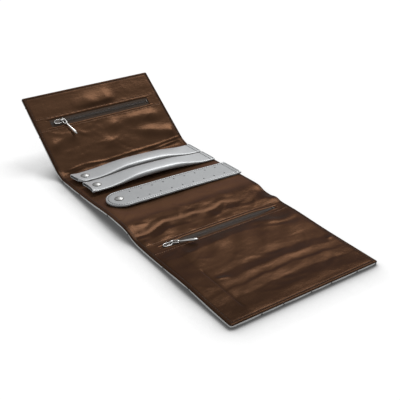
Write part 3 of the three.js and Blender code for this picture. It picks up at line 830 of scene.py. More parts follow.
def quilt_recipe() -> Recipe:
    """Presses lozenge quilting into a sheet that carries its flat cut and how far the quilting counts."""
    sizes = ("Across", "Along", "First", "Second", "Gap", "Depth", "Channel", "Puff")
    recipe = Recipe("Lozenge quilting", sizes)
    flat = recipe.node("GeometryNodeInputNamedAttribute", {"Name": "flat"}, data_type="FLOAT_VECTOR")
    parts = recipe.node("ShaderNodeSeparateXYZ", {0: flat})
    x = parts.maths("DIVIDE", parts, recipe.given("Across"))
    s = parts.maths("DIVIDE", parts.sibling(1), recipe.given("Along"))
    weight = parts.sibling(2)

    def drawn_in(phase: Socket) -> Socket:
        """How far the leather is drawn in beside the nearest line of one family, 1 on the line."""
        past = phase - phase.maths("ROUND", phase)
        gap = past.maths("ABSOLUTE", past) * recipe.given("Gap")
        return 0.4 * gap.bump(recipe.given("Channel")) + 0.6 * gap.bump(recipe.given("Puff"))

    families = (drawn_in(x + s + recipe.given("First")), drawn_in(x - s + recipe.given("Second")))
    press = x.maths("MAXIMUM", *families) * weight
    inward = {0: recipe.node("GeometryNodeInputNormal"), "Scale": -(press * recipe.given("Depth"))}
    move = recipe.node("ShaderNodeVectorMath", inward, operation="SCALE")
    moved = {"Geometry": recipe.given("Geometry"), "Offset": move}
    # The stored press also masks the leather's painted shade in the channels.
    kept = {"Geometry": recipe.node("GeometryNodeSetPosition", moved), "Name": "press", "Value": press}
    store = recipe.node("GeometryNodeStoreNamedAttribute", kept, data_type="FLOAT", domain="POINT")
    return recipe.end(store)


def hole_recipe() -> Recipe:
    """Punches two rows of round holes through a strap that lies along x."""
    recipe = Recipe("Punched holes", ("First", "Pitch", "Rows apart", "Radius", "Depth"), ("Count",))
    shift = recipe.vector(recipe.given("Pitch"), 0.0, 0.0)
    rod = {"Vertices": 12, "Radius": recipe.given("Radius"), "Depth": recipe.given("Depth")}
    punch = recipe.node("GeometryNodeMeshCylinder", rod, "Mesh")
    half = recipe.given("Rows apart") * 0.5
    rows = recipe.node("GeometryNodeJoinGeometry")
    for way in (-1.0, 1.0):
        start = recipe.vector(recipe.given("First"), way * half, 0.0)
        line = {"Count": recipe.given("Count"), "Start Location": start, "Offset": shift}
        spots = recipe.node("GeometryNodeMeshLine", line, mode="OFFSET")
        placed = recipe.node("GeometryNodeInstanceOnPoints", {"Points": spots, "Instance": punch})
        recipe.tree.links.new(placed.link, rows.link.node.inputs[0])
    punches = recipe.node("GeometryNodeRealizeInstances", {"Geometry": rows})
    cut = {"Mesh 1": recipe.given("Geometry"), "Mesh 2": punches}
    return recipe.end(recipe.node("GeometryNodeMeshBoolean", cut, operation="DIFFERENCE", solver="EXACT"))


@dataclass
class Sewing:
    """Rows of stitches in a thread, in mm."""

    recipe: Recipe
    thread: Material
    pitch: float
    length: float
    girth: float

    def sew(self, name: str, lines: Iterable[Array]) -> Piece:
        """Sews along lines of points in metres.

        Args:
            name: The name of the stitches' one piece.
            lines: Each line's points in the shared frame.

        Returns:
            The stitches as one plain mesh.
        """
        points, edges = [], []
        for line in lines:
            first = len(points)
            points.extend(np.asarray(line).tolist())
            edges.extend((i, i + 1) for i in range(first, len(points) - 1))
        mesh = bpy.data.meshes.new(name)
        mesh.from_pydata(points, edges, [])
        sizes = {"Pitch": self.pitch * MM, "Length": self.length * MM, "Girth": self.girth * MM}
        return settle(self.recipe.put_on(linked(name, mesh), Material=self.thread, **sizes))


@dataclass
class Part:
    """A sub-assembly that lies on the strip, in the roll's finishes."""

    strip: Strip
    finishes: Finishes


def eased(pairs: Pairs, at: Array, step: float) -> Array:
    """Values like read_off's, averaged over two steps either way so that no corner shows."""
    return sum(read_off(pairs, at + n * step) for n in range(-2, 3)) / 5


@dataclass(frozen=True)
class Fold:
    """A soft ridge in slack satin that runs across the roll, in mm: its crest's points, height and widths."""

    crest: Pairs
    height: float
    before: float
    behind: float
    fade: float = 12.0

    def rise(self, x: Array, s: Array) -> Array:
        """Height of the ridge at points of the flat strip."""
        first, last = self.crest[0][0], self.crest[-1][0]
        start = smooth(x, first - self.fade, first + self.fade)
        end = 1 - smooth(x, last - self.fade, last + self.fade)
        past = s - eased(self.crest, x, 4)
        uneven = 1 + 0.25 * np.sin(x / 9.1 + self.height * 40) + 0.2 * np.sin(x / 4.7 + first)
        section = bell(past / np.where(past < 0, self.before, self.behind), 1.0)
        return self.height * uneven * start * end * section


@dataclass(frozen=True)
class Drape:
    """How slack satin lies along the roll, in mm: its heights, and how far they shift from side to side."""

    heights: Pairs
    shifts: Pairs
    share: Pairs
    soft: float = 1.3

    def rise(self, x: Array, s: Array) -> Array:
        """Height of the drape at points of the flat strip."""
        place = s - eased(self.shifts, x, 2)
        place = place + 0.9 * np.sin(x / 6.7 + s / 31) + 0.5 * np.sin(x / 3.1 - s / 17)
        near = np.linspace(-1.6, 1.6, 7)
        weight = bell(near, 1.0) / bell(near, 1.0).sum()
        laid = sum(w * read_off(self.heights, place + self.soft * d) for d, w in zip(near, weight))
        uneven = 1 + 0.22 * np.sin(x / 11.3 + s / 14) + 0.18 * np.sin(x / 5.2 - s / 9)
        return laid * uneven * read_off(self.share, x)


@dataclass(frozen=True)
class Crinkles:
    """Short random creases over a length of the strip, in mm."""

    seed: int
    count: int
    low: float
    high: float
    height: float
    reach: float = 88.0
    width: tuple[float, float] = (2.0, 4.5)
    length: tuple[float, float] = (7.0, 22.0)
    lean: float = 0.6
    curl: float = 0.012

    def rise(self, x: Array, s: Array) -> Array:
        """Height of all the creases at points of the flat strip."""
        random = np.random.default_rng(self.seed)
        total = np.zeros(np.broadcast(x, s).shape)
        for _ in range(self.count):
            x0, s0 = random.uniform(-self.reach, self.reach), random.uniform(self.low, self.high)
            angle, length = random.normal(0.0, self.lean), random.uniform(*self.length)
            width, height = random.uniform(*self.width), self.height * random.uniform(-0.6, 1.0)
            along = (x - x0) * math.cos(angle) + (s - s0) * math.sin(angle)
            past = (s - s0) * math.cos(angle) - (x - x0) * math.sin(angle) - self.curl * along**2
            total = total + height * bell(along, length) * bell(past, width)
        return total


@dataclass(frozen=True)
class Window:
    """A zip's window in the lining, in mm on the flat strip."""

    side: str
    s: float
    left: float
    right: float
    half: float
    end_half: float
    taper: float
    row: float = 9.5
    drawn: float = 8.0

    @classmethod
    def from_frame(cls, strip: Strip, side: str, half: float, end_half: float, taper: float) -> "Window":
        """Reads where the CAD tabs leave the window.

        Args:
            strip: The strip.
            side: back or front.
            half: Half the window's height.
            end_half: Half its height at its ends.
            taper: How far from them it narrows.

        Returns:
            The window.
        """
        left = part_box(f"{side}_flap_zip_tab_left")[1].x / MM
        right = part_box(f"{side}_flap_zip_tab_right")[0].x / MM
        return cls(side, strip.station(f"{side}_flap_zip_tab_left"), left, right, half, end_half, taper)

    def opening(self, x: Array) -> Array:
        """Half the window's height at x, drawn together towards its ends."""
        full = smooth(x, self.left - 1, self.left + self.taper)
        full = full * (1 - smooth(x, self.right - self.taper, self.right + 1))
        return self.end_half + (self.half - self.end_half) * full

    def warp(self, x: Array, s: Array) -> Array:
        """Moves lines of cloth beside the window so that they follow its edge."""
        q = s - self.s
        gap, far = np.abs(q), self.half + self.drawn
        shut = (self.half - self.opening(x)) * (1 - smooth(gap, self.half, far))
        moved = np.where(gap < self.half, q * self.opening(x) / self.half, np.sign(q) * (gap - shut))
        return np.where(gap < far, self.s + moved, s)

    def spans(self, x: Array, margin: float = 0.0) -> Array:
        """1 along the window and a margin past its ends, then softly down to 0."""
        left, right = self.left - margin, self.right + margin
        return smooth(x, left - 6, left) * (1 - smooth(x, right, right + 6))

    def slack(self, x: Array, s: Array) -> Array:
        """The share of the cloth's slack that the zip's tapes leave at points of the flat strip."""
        return 1 - 0.93 * (1 - smooth(np.abs(s - self.s), 6, 14)) * self.spans(x, 12)

    def seams(self, x: Array, s: Array) -> Array:
        """Height of the rolled lips, the rows of stitches and the pinches beside them."""
        q = np.abs(s - self.s)
        past, lip = q - self.row, q - self.opening(x)
        pinch = bell(past, 2.2) * np.sin(2 * math.pi * (x + 0.5 * q) / 7.3 + 1.7 * np.sin(x / 11.0))
        rows = 0.22 * bell(past, 1.6) - 0.2 * bell(past, 0.9) + 0.08 * pinch
        rolled = np.where(lip > -0.2, 0.24 * bell(lip - 1.5, 1.0) - 0.45 * bell(lip, 0.55), 0)
        return rows + self.spans(x) * rolled


@dataclass
class Lining(Part):
    """The satin lining with its slack, its creased folds, its zip windows and its hems, in mm."""

    windows: tuple[Window, ...]
    inset: float = 0.5
    cloth: float = 0.35
    cell: float = 1.35
    hem: float = 4.4
    slack: float = 0.1
    over: float = 0.06
    line: float = -66.0
    line_run: tuple[float, float] = (18.0, 92.0)
    # tab and rim darken the satin's colour: painted shade left of the ridge line and along the edges.
    tab: float = -0.14
    rim: float = -0.55
    tuck: tuple[float, ...] = (0.0, 0.4, 0.9, 1.6, 2.4, 3.1, 3.8, 4.4, 5.0)
    fine: tuple[float, ...] = (0, 1.5, 3, 4, 4.4, 4.9, 5.5, 6.3, 7.2, 8.1, 8.9, 9.5, 10, 10.5, 11.1, 12)
    lip: tuple[float, ...] = (0.0, 0.4, 0.9, 1.5, 2.2)
    # Painted light and painted shade by place along the roll, added to the satin's colour.
    painted_light_along: Pairs = (
        (30, -0.36), (45, -0.24), (120, -0.22), (140, -0.26), (165, -0.26),
        (204, -0.26), (214, 0.28), (330, 0.28), (352, 0.0),
    )
    drapes: tuple[Drape, ...] = (
        Drape(
            ((5, 0.0), (16, 0.08), (33, -0.55), (34.6, -0.7), (48, 0.05), (51.5, -0.3), (55, -0.2),
             (63, 0.25), (76, -0.55), (124, 1.8), (137, 0.4), (142, 0)),
            ((-92, -4), (-60, -3), (-35, -1.5), (0, 0.5), (40, -0.5), (60, -3), (80, -6), (92, -3)),
            ((-92, 0.3), (-68, 0.4), (-60, 1), (60, 1), (78, 0.7), (92, 0.5)),
        ),
        Drape(
            ((156, 0), (164, 0.75), (173, 1.15), (179, 0.35), (185.5, -0.55), (189, -0.1), (196, -0.6),
             (205, 0)),
            ((-92, -9), (-69, -5), (-64, -2), (-45, 2), (-20, 0), (5, -3), (20, -1), (34, 1), (46, -3),
             (56, -5)),
            ((-92, 0.9), (-84, 1.1), (-77, 0.5), (-69, 1.1), (-50, 1), (-40, 0.6), (-30, 0.9), (-21, 0.45),
             (-10, 0.9), (2, 0.5), (12, 1), (21, 0.6), (32, 1), (44, 0.7), (54, 0)),
            1.0,
        ),
        Drape(
            ((207, 0), (243, 1.3), (250, 1.3), (264, 0)),
            ((-92, 0), (92, 0)),
            ((-92, 0.6), (-70, 1), (20, 1), (60, 0.35), (92, 0)),
            3.0,
        ),
        Drape(
            ((156, 0), (173, 1.2), (184, 0.3), (195, -0.35), (203, -0.4), (226, 0)),
            ((40, 0), (60, -2), (92, -5)),
            ((42, 0), (54, 1), (92, 1)),
            2.0,
        ),
    )
    folds: tuple[Fold, ...] = (
        Fold(((-30, 61), (0, 63), (24, 62), (46, 60)), 0.2, 4.0, 7, 9),
        Fold(((30, 128), (50, 121), (72, 112), (88, 118)), -0.6, 5, 5, 6),
        Fold(((-62, 68), (-50, 63)), 0.5, 2.5, 3, 4),
        Fold(((82, 62), (92, 64)), 0.6, 2.5, 2.5, 3),
        Fold(((-93, 175), (-78, 174)), 0.5, 3, 3, 5),
        Fold(((-80, 195), (-68, 194)), 0.8, 3, 3, 4),
        Fold(((-28, 456), (6, 455), (26, 457)), 1.9, 5, 13, 9),
        Fold(((0, 413), (40, 418), (80, 414)), 1.3, 8, 8, 10),
        Fold(((40, 394), (62, 391), (74, 385), (90, 383)), 1.7, 9, 8, 8),
        Fold(((-22, 390), (16, 391)), 1.0, 8, 8, 12),
        Fold(((-88, 404), (-70, 410), (-50, 414)), 1.4, 8, 8, 8),
        Fold(((-95, 360.6), (95, 360.6)), -1.8, 5, 5),
        Fold(((-78, 366), (-55, 369.5), (-30, 366), (20, 368), (60, 369), (93, 372)), 0.6, 1.3, 1.5, 6),
        Fold(((25, 361), (60, 364), (93, 368)), 0.5, 1.3, 1.4, 8),
        Fold(((-93, 361), (-75, 363), (-60, 366)), 0.4, 1.3, 1.4, 6),
    )
    creases: tuple[Crinkles, ...] = (
        Crinkles(3, 70, 8, 140, 0.2),
        Crinkles(5, 60, 160, 215, 0.2),
        Crinkles(8, 40, 205, 350, 0.14),
        Crinkles(13, 55, 368, 425, 0.28),
        Crinkles(21, 26, 448, 480, 0.12),
    )

    def _slackness(self, x: Array, s: Array) -> Array:
        """Height of the small soft waves that slack cloth has everywhere."""
        random = np.random.default_rng(11)
        waves = np.zeros(np.broadcast(x, s).shape)
        for _ in range(14):
            across, along = random.uniform(40, 150), random.uniform(16, 48)
            lean, phase = random.uniform(-1, 1), random.uniform(0, 2 * math.pi)
            waves = waves + np.sin(2 * math.pi * (lean * x / across + s / along) + phase) * along / 48
        return self.slack * waves / 2.2

    def relief(self, x: Array, s: Array) -> Array:
        """How high the face of the satin stands at points of the flat strip."""
        edge = self.strip.edge(x, s)
        waves = sum(wave.rise(x, s) for wave in (*self.drapes, *self.folds, *self.creases))
        loose = (waves + self._slackness(x, s)) * smooth(edge, 1.5, 11)
        seams = -1.0 * bell(edge - self.inset, 0.8) - 0.16 * bell(edge - self.hem, 0.9)
        first, last = self.line_run
        run = smooth(s, first - 2, first + 2) * (1 - smooth(s, last - 8, last))
        seams = seams - 0.75 * bell(x - self.line, 1.0) * run
        for window in self.windows:
            loose = loose * window.slack(x, s)
            seams = seams + window.seams(x, s)
        return loose + seams + self.strip.bow(x, s)

    def _painted_light(self, x: Array, s: Array) -> Array:
        """Painted light and painted shade for the satin's colour: brighter where the cloth turns to the
        light, darker where it turns away, lighter or darker by place along the roll, and darker left of the
        ridge line and at the hems.
        """
        slope = (self.relief(x, s + 0.7) - self.relief(x, s - 0.7)) / 1.4
        painted_slope_light = 0.5 + 0.5 * np.tanh(np.where(s > self.strip.back_fold, -3.0, 5.5) * slope)
        # Painted shade left of the ridge line and along the edges.
        beside = (1 - smooth(x, self.line - 3, self.line + 3)) * (1 - smooth(s, 130, 145))
        painted_edge_shade = 1 - smooth(self.strip.edge(x, s), 3.0, 6.5)
        return painted_slope_light + read_off(self.painted_light_along, s) + self.tab * beside + self.rim * painted_edge_shade

    def _lines(self, stretch: Stretch) -> tuple[Array, Array]:
        """Where the lines of the cloth's grid lie across and along, closer at hems and windows."""
        tuck = np.array(self.tuck)
        half, hem = self.strip.half - self.inset, tuck + self.inset
        inner = half - tuck[-1]
        middle = np.linspace(-inner, inner, int(2 * inner / self.cell))[1:-1]
        xs = np.concatenate([tuck - half, middle, half - tuck[::-1]])
        front = hem if stretch.start == 0 else np.array([stretch.start])
        back = stretch.end - (hem[::-1] if stretch.end == self.strip.length else np.zeros(1))
        ss = np.linspace(front[-1], back[0], int((stretch.end - stretch.start) / self.cell))[1:-1]
        fine = np.array(self.fine)
        for window in self.windows:
            if front[-1] < window.s < back[0]:
                lip = window.half + np.array(self.lip)
                near = np.concatenate([fine[fine < lip[0] - 0.3], lip, fine[fine > lip[-1] + 0.3]])
                far = ss[np.abs(ss - window.s) > fine[-1] + 0.6]
                ss = np.concatenate([far, window.s - near, window.s + near])
        return xs, np.unique(np.concatenate([front, ss, back]))

    def _on_face(self, x: Array, s: Array) -> Array:
        """Points in the shared frame for thread that lies on the satin."""
        return self.strip.place(x, s, self.relief(x, s) + self.over)

    def _hems(self, stretch: Stretch) -> list[Array]:
        """The lines of stitches along the edges of the roll, on one stretch."""
        inside, full = self.strip.half - self.hem, self.strip.length
        low, high = max(stretch.start, self.hem), min(stretch.end, full - self.hem)
        s = np.linspace(low, high, int((high - low) / 2.0))
        x = np.linspace(-inside, inside, int(inside))
        flat = [(np.full(len(s), side), s) for side in (-inside, inside)]
        if stretch.start == 0:
            flat.append((x, np.full(len(x), self.hem)))
        if stretch.end == full:
            flat.append((x, np.full(len(x), full - self.hem)))
        return [self._on_face(*line) for line in flat]

    def _rows(self, window: Window) -> list[Array]:
        """The two lines of stitches that hold a zip's tapes."""
        x = np.linspace(1.0, -1.0, 90) * (self.strip.half - self.hem - 2.0)
        return [self._on_face(x, np.full(len(x), window.s + way * window.row)) for way in (-1, 1)]

    def _stretch(self, stretch: Stretch) -> tuple[Piece, tuple[float, float]]:
        """One stretch of lining, and its flat width and length in metres."""
        xs, ss = self._lines(stretch)
        x, s = crossings(xs, ss)
        mid_x, mid_s = crossings((xs[1:] + xs[:-1]) / 2, (ss[1:] + ss[:-1]) / 2)
        keep = np.ones(mid_x.shape, bool)
        for window in self.windows:
            between = (mid_x > window.left) & (mid_x < window.right)
            keep &= ~((np.abs(mid_s - window.s) < window.half) & between)
            s = window.warp(x, s)
        x, s = self.strip.rounded(x, s)
        points = self.strip.place(x, s, self.relief(x, s)).reshape(-1, 3)
        points, faces, cut = trimmed(points, grid_faces(*x.shape, keep), side_by_side(x, s))
        piece = make_mesh(f"{stretch.name}_satin", points, faces, self.finishes.satin, cut)
        # Painted light and painted shade, carried for the satin's colour.
        carry(piece, "nap", self._painted_light(*cut.T))
        thicken(piece, self.cloth * MM)
        return settle(piece), ((xs[-1] - xs[0]) * MM, (ss[-1] - ss[0]) * MM)

    def build(self, leathers: dict[str, str], hems: Sewing, rows: Sewing) -> None:
        """Makes the four stretches of lining with their stitches.

        Args:
            leathers: The name of the leather that each stretch lies on; not used.
            hems: The thread of the hems.
            rows: The thread of the rows beside the zips.
        """
        for stretch in stretches(self.strip):
            piece, size = self._stretch(stretch)
            stretch.bend(piece, self.strip)
            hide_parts(*self._nodes(stretch))
            stretch.bend(hems.sew(f"{stretch.name}_hem_stitches", self._hems(stretch)), self.strip)
            size[0] * size[1]
        for window in self.windows:
            sewn = rows.sew(f"{window.side}_zip_row_stitches", self._rows(window))
            fasten(sewn, f"{window.side}_flap")

    @staticmethod
    def _nodes(stretch: Stretch) -> list[str]:
        """The CAD nodes that a stretch of lining stands for."""
        flap = ("pocket_front", "lining_band", "zip_tab_left", "zip_tab_right")
        parts = flap if stretch.name.endswith("flap") else ("lining",)
        return [f"{panel}_{part}" for panel in stretch.panels for part in parts]


@dataclass(frozen=True)
class QuiltLine:
    """One slanting line of the quilting on the flat strip, in mm."""

    across: float
    along: float
    shift: float
    way: int

    def x_at(self, s: Number) -> Array:
        """Where the line lies across, at places along."""
        return self.across * (self.shift + self.way * s / self.along)

    def s_at(self, x: Number) -> Array:
        """Where the line lies along, at places across."""
        return self.way * self.along * (x / self.across - self.shift)


@dataclass
class Shell(Part):
    """The quilted leather outside: a shallow tray whose rim turns up round the lining, in mm."""

    cell: float = 1.6
    wall: float = 0.5
    clearance: float = 0.05
    across: float = 61.5
    along: float = 118.0
    gap: float = 54.5
    first: float = 0.943
    second: float = 0.520
    depth: float = 1.5
    channel: float = 2.2
    puff: float = 16.0
    thread_level: float = -4.45
    rim: Pairs = (
        (2.6, -1.7), (2.4, -1.2), (2.1, -0.95), (1.6, -0.9), (1.0, -1.0), (0.45, -1.4),
        (0.1, -2.0), (0.0, -2.9), (0.3, -3.75), (1.5, -4.22), (3.4, -4.3),
    )

    def _grid(self, stretch: Stretch) -> tuple[Array, Array, Array, Array]:
        """The outer face of one stretch: places across and along, heights, and the quilting's weight."""
        insets, heights = unpaired(self.rim)
        turn = len(insets) - 1
        half, last = self.strip.half, insets[-1]
        front, back = stretch.start == 0, stretch.end == self.strip.length
        low, high = stretch.start + last * front, stretch.end - last * back
        inner_x = np.linspace(last - half, half - last, int(2 * half / self.cell))
        inner_s = np.linspace(low, high, int((high - low) / self.cell))
        steps, edge = np.arange(turn), insets[:-1]
        kx, ks = crossings(
            np.concatenate([steps, np.full(len(inner_x), turn), steps[::-1]]),
            np.concatenate([steps[: turn * front], np.full(len(inner_s), turn), steps[::-1][: turn * back]]),
        )
        x, s = crossings(
            np.concatenate([edge - half, inner_x, half - edge[::-1]]),
            np.concatenate([edge[: turn * front], inner_s, stretch.end - edge[::-1][: turn * back]]),
        )
        ring = np.minimum(kx, ks)
        share = np.where(turn > ring, (np.maximum(kx, ks) - ring) / np.maximum(turn - ring, 1), 1.0)
        corner = (kx < turn) & (ks < turn)
        pulled = insets[ring] + (last - insets[ring]) * share
        near_x, near_s = np.where(kx <= ks, insets[ring], pulled), np.where(ks <= kx, insets[ring], pulled)
        x = np.where(corner, np.sign(x) * (half - near_x), x)
        s = np.where(corner, np.where(s < self.strip.length / 2, near_s, self.strip.length - near_s), s)
        return x, s, heights[ring], self._weight(ring)

    def _weight(self, ring: Array) -> Array:
        """How much of the quilting's depth each ring of the rim takes."""
        return np.interp(ring, (0, 4, 6, len(self.rim) - 1), (0.0, 0.05, 0.3, 1.0))

    def _climb(self) -> tuple[Array, Array]:
        """How far in and how high the thread lies on each ring of the rim that shows."""
        ring = np.arange(4, len(self.rim))
        inset, height = np.array(self.rim)[ring].T
        drawn = 0.85 * self.depth * self._weight(ring)
        under = np.interp(ring, (7, 9), (0.0, 1.0))
        return inset + drawn * (1 - under), height + drawn * under

    def _quilt_lines(self, stretch: Stretch) -> tuple[list[Array], list[Array]]:
        """The lines of the quilting's stitches on one stretch, and their ends that climb the rim."""
        last, half, full = self.rim[-1][0], self.strip.half, self.strip.length
        low, high = max(stretch.start, last), min(stretch.end, full - last)
        s = np.linspace(low, high, int((high - low) / 2.5))
        inset, height = self._climb()
        lines, ends = [], []
        families = ((-1, self.first), (1, self.second))
        for way, shift in ((way, n - phase) for way, phase in families for n in range(-8, 9)):
            line = QuiltLine(self.across, self.along, shift, way)
            x = line.x_at(s)
            inside = np.abs(x) < half - last
            if inside.sum() > 2:
                lines.append(self.strip.raised(x[inside], s[inside], self.depth + self.thread_level))
            for edge in (0.0, full):
                if stretch.start <= edge <= stretch.end and abs(line.x_at(edge)) < half - last:
                    along = np.abs(edge - inset)
                    ends.append(self.strip.raised(line.x_at(along), along, height))
            for side in (-half, half):
                if low < line.s_at(side) < high:
                    across = side - np.copysign(inset, side)
                    ends.append(self.strip.raised(across, line.s_at(across), height))
        return lines, ends

    def build(self, quilter: Sewing, binder: Sewing) -> dict[str, str]:
        """Makes the four stretches of leather with their quilting and its stitches.

        Args:
            quilter: The thread of the quilting.
            binder: The tighter thread of its ends on the rim.

        Returns:
            The name of the leather under each stretch of lining.
        """
        # The outer leather is a lighter copy: painted light on the rim.
        made, leather = {}, self.finishes.outer_leather_painted_lighter
        quilting = quilt_recipe()
        lozenges = {"Across": self.across, "Along": self.along, "First": self.first, "Second": self.second}
        puffs = {"Gap": self.gap, "Depth": self.depth * MM, "Channel": self.channel, "Puff": self.puff}
        for stretch in stretches(self.strip):
            x, s, h, weight = self._grid(stretch)
            x, s = self.strip.rounded(x, s)
            points, cut = self.strip.raised(x, s, h).reshape(-1, 3), side_by_side(x, s)
            points[:, 2] = np.maximum(points[:, 2], self.clearance * MM)
            faces = grid_faces(*x.shape)[:, ::-1]
            piece = make_mesh(f"{stretch.name}_quilted_leather", points, faces, leather, cut)
            carry(piece, "flat", np.column_stack([cut, weight.ravel()]))
            quilting.put_on(piece, Material=leather, **lozenges, **puffs)
            thicken(piece, self.wall * MM)
            stretch.bend(settle(piece), self.strip)
            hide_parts(*(f"{panel}_leather" for panel in stretch.panels))
            lines, ends = self._quilt_lines(stretch)
            stretch.bend(quilter.sew(f"{stretch.name}_quilting_stitches", lines), self.strip)
            stretch.bend(binder.sew(f"{stretch.name}_rim_stitches", ends), self.strip)
            made[stretch.name] = piece.name
        return made


def face_out(piece: Piece, weld: float = 1e-6) -> Piece:
    """Merges a closed piece's doubled points and turns all its faces outwards."""
    work = bmesh.new()
    work.from_mesh(piece.data)
    bmesh.ops.remove_doubles(work, verts=work.verts[:], dist=weld)
    bmesh.ops.recalc_face_normals(work, faces=work.faces[:])
    work.to_mesh(piece.data)
    work.free()
    return piece


def lay(piece: Piece, strip: Strip, s: float, bowed: bool = False) -> Piece:
    """Moves a piece made on the flat to the shared frame.

    Args:
        piece: A piece whose vertices are x, distance past s, and height, in mm.
        strip: The strip.
        s: The place along it.
        bowed: Whether the piece rises with the whole roll.

    Returns:
        The piece.
    """
    x, q, h = points_of(piece).reshape(-1, 3).T
    move_points(piece, (strip.raised if bowed else strip.place)(x, s + q, h))
    return piece


def rings_about(
    path: Any, normal: Sequence[float], wide: Any, thick: Any, sides: int, loop: bool = False
) -> Array:
    """Oval rings of points round a flat path.

    Args:
        path: The path's points.
        normal: The direction square to the path's plane.
        wide: Half the oval's size along the normal, at each point or everywhere.
        thick: Half its size in the plane, at each point or everywhere.
        sides: Points in a ring.
        loop: Whether the path's end joins its start.

    Returns:
        Points by place on the path and place in the ring.
    """
    path, normal = np.asarray(path, float), np.asarray(normal, float)
    ahead = np.roll(path, -1, 0) - np.roll(path, 1, 0) if loop else np.gradient(path, axis=0)
    ahead = ahead / np.linalg.norm(ahead, axis=1)[:, None]
    beside = np.cross(normal, ahead)[:, None]
    turn = round_angles(sides)[None, :, None]
    wide, thick = (np.broadcast_to(np.asarray(v, float), len(path))[:, None, None] for v in (wide, thick))
    return path[:, None] + beside * thick * np.cos(turn) + normal * wide * np.sin(turn)


def lofted(name: str, rings: Array, material: Material, loop: bool = False) -> Piece:
    """A closed piece through rings of points.

    Args:
        name: The piece's name.
        rings: Points by ring and place in the ring.
        material: Its finish.
        loop: Whether the last ring joins the first; otherwise both are filled.

    Returns:
        The piece.
    """
    rows, sides = rings.shape[:2]
    if loop:
        rings = np.concatenate([rings, rings[:1]])
        return face_out(make_mesh(name, rings, grid_faces(rows + 1, sides, closed=True), material))
    ends = (range(sides), range((rows - 1) * sides, rows * sides))
    return face_out(make_mesh(name, rings, [*grid_faces(rows, sides, closed=True), *ends], material))


def turned(name: str, profile: Pairs, x: float, material: Material, sides: int = 40) -> Piece:
    """A round piece turned about an upright axis.

    Args:
        name: The piece's name.
        profile: Its radii and heights.
        x: Where its axis lies.
        material: Its finish.
        sides: Points in a ring.

    Returns:
        The piece.
    """
    radius, height = (column[:, None] for column in unpaired(profile))
    angle = round_angles(sides)
    parts = np.broadcast_arrays(x + radius * np.cos(angle), radius * np.sin(angle), height)
    return lofted(name, np.stack(parts, axis=-1), material)


def joined(name: str, pieces: Sequence[Piece]) -> Piece:
    """Makes one piece of several, which are used up."""
    work = bmesh.new()
    for piece in pieces:
        work.from_mesh(piece.data)
    mesh = pieces[0].data
    work.to_mesh(mesh)
    work.free()
    for piece in pieces[1:]:
        bpy.data.objects.remove(piece)
    pieces[0].name = mesh.name = name
    return pieces[0]


@dataclass
class Snap(Part):
    """A press snap: the cap and socket on a strap, and the stud on the lining, in mm."""

    owner: str
    thickness: float
    stack: float
    radius: float = 5.6
    edge: float = 0.34
    dome: float = 1.9
    rings: tuple[float, ...] = (0.98, 0.93, 0.86, 0.76, 0.64, 0.5, 0.34, 0.16, 0.02)
    painted_shade_from: float = 0.9
    socket: Pairs = (
        (0.2, 0.0), (4.0, 0.0), (4.35, -0.3), (4.4, -1.9), (4.1, -2.3),
        (3.4, -2.42), (2.8, -2.3), (2.45, -2.0), (2.4, -0.9), (0.2, -0.9),
    )
    stud: Pairs = (
        (0.2, 0.02), (3.9, 0.02), (4.2, 0.25), (4.05, 0.6), (3.2, 0.78), (2.1, 0.85),
        (1.8, 1.1), (1.85, 1.6), (2.1, 1.95), (2.0, 2.35), (1.5, 2.6), (0.2, 2.68),
    )

    def build(self) -> None:
        """Turns the three pieces and seats them where the CAD has them."""
        low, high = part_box(f"{self.owner}_snap_cap")
        x, s, r = (low.x + high.x) / 2 / MM, self.strip.station(f"{self.owner}_sewn_end"), self.radius
        rim = ((0.2, 0.0), (r - 0.35, 0.0), (r - 0.08, 0.1), (r, 0.22), (r - 0.06, self.edge))
        dome = tuple((r * k, self.edge + self.dome * (1 - k * k)) for k in self.rings)
        metal, seat = self.finishes.metal, self.stack + self.thickness + 0.02
        parts = (
            ("cap", rim + dome, seat, self.owner, self.finishes.cap_metal_painted_darker),
            ("socket", self.socket, self.stack - 0.05, self.owner, metal),
            ("stud", self.stud, 0.0, Body.CENTRE.value, metal),
        )
        for part, profile, level, body, material in parts:
            raised = tuple((across, level + up) for across, up in profile)
            piece = turned(f"{self.owner}_{part}", raised, x, material)
            # The cap's outer ring takes the dark plate: a painted shade ring where the cap meets the strap.
            if part == "cap":
                piece.data.materials.append(self.finishes.dark_metal)
                for face in piece.data.polygons:
                    out = math.hypot(face.center.x - x, face.center.y)
                    face.material_index = int(out > self.painted_shade_from * r)
            fasten(lay(piece, self.strip, s), body, Slot.METAL, f"{self.owner}_snap_{part}")


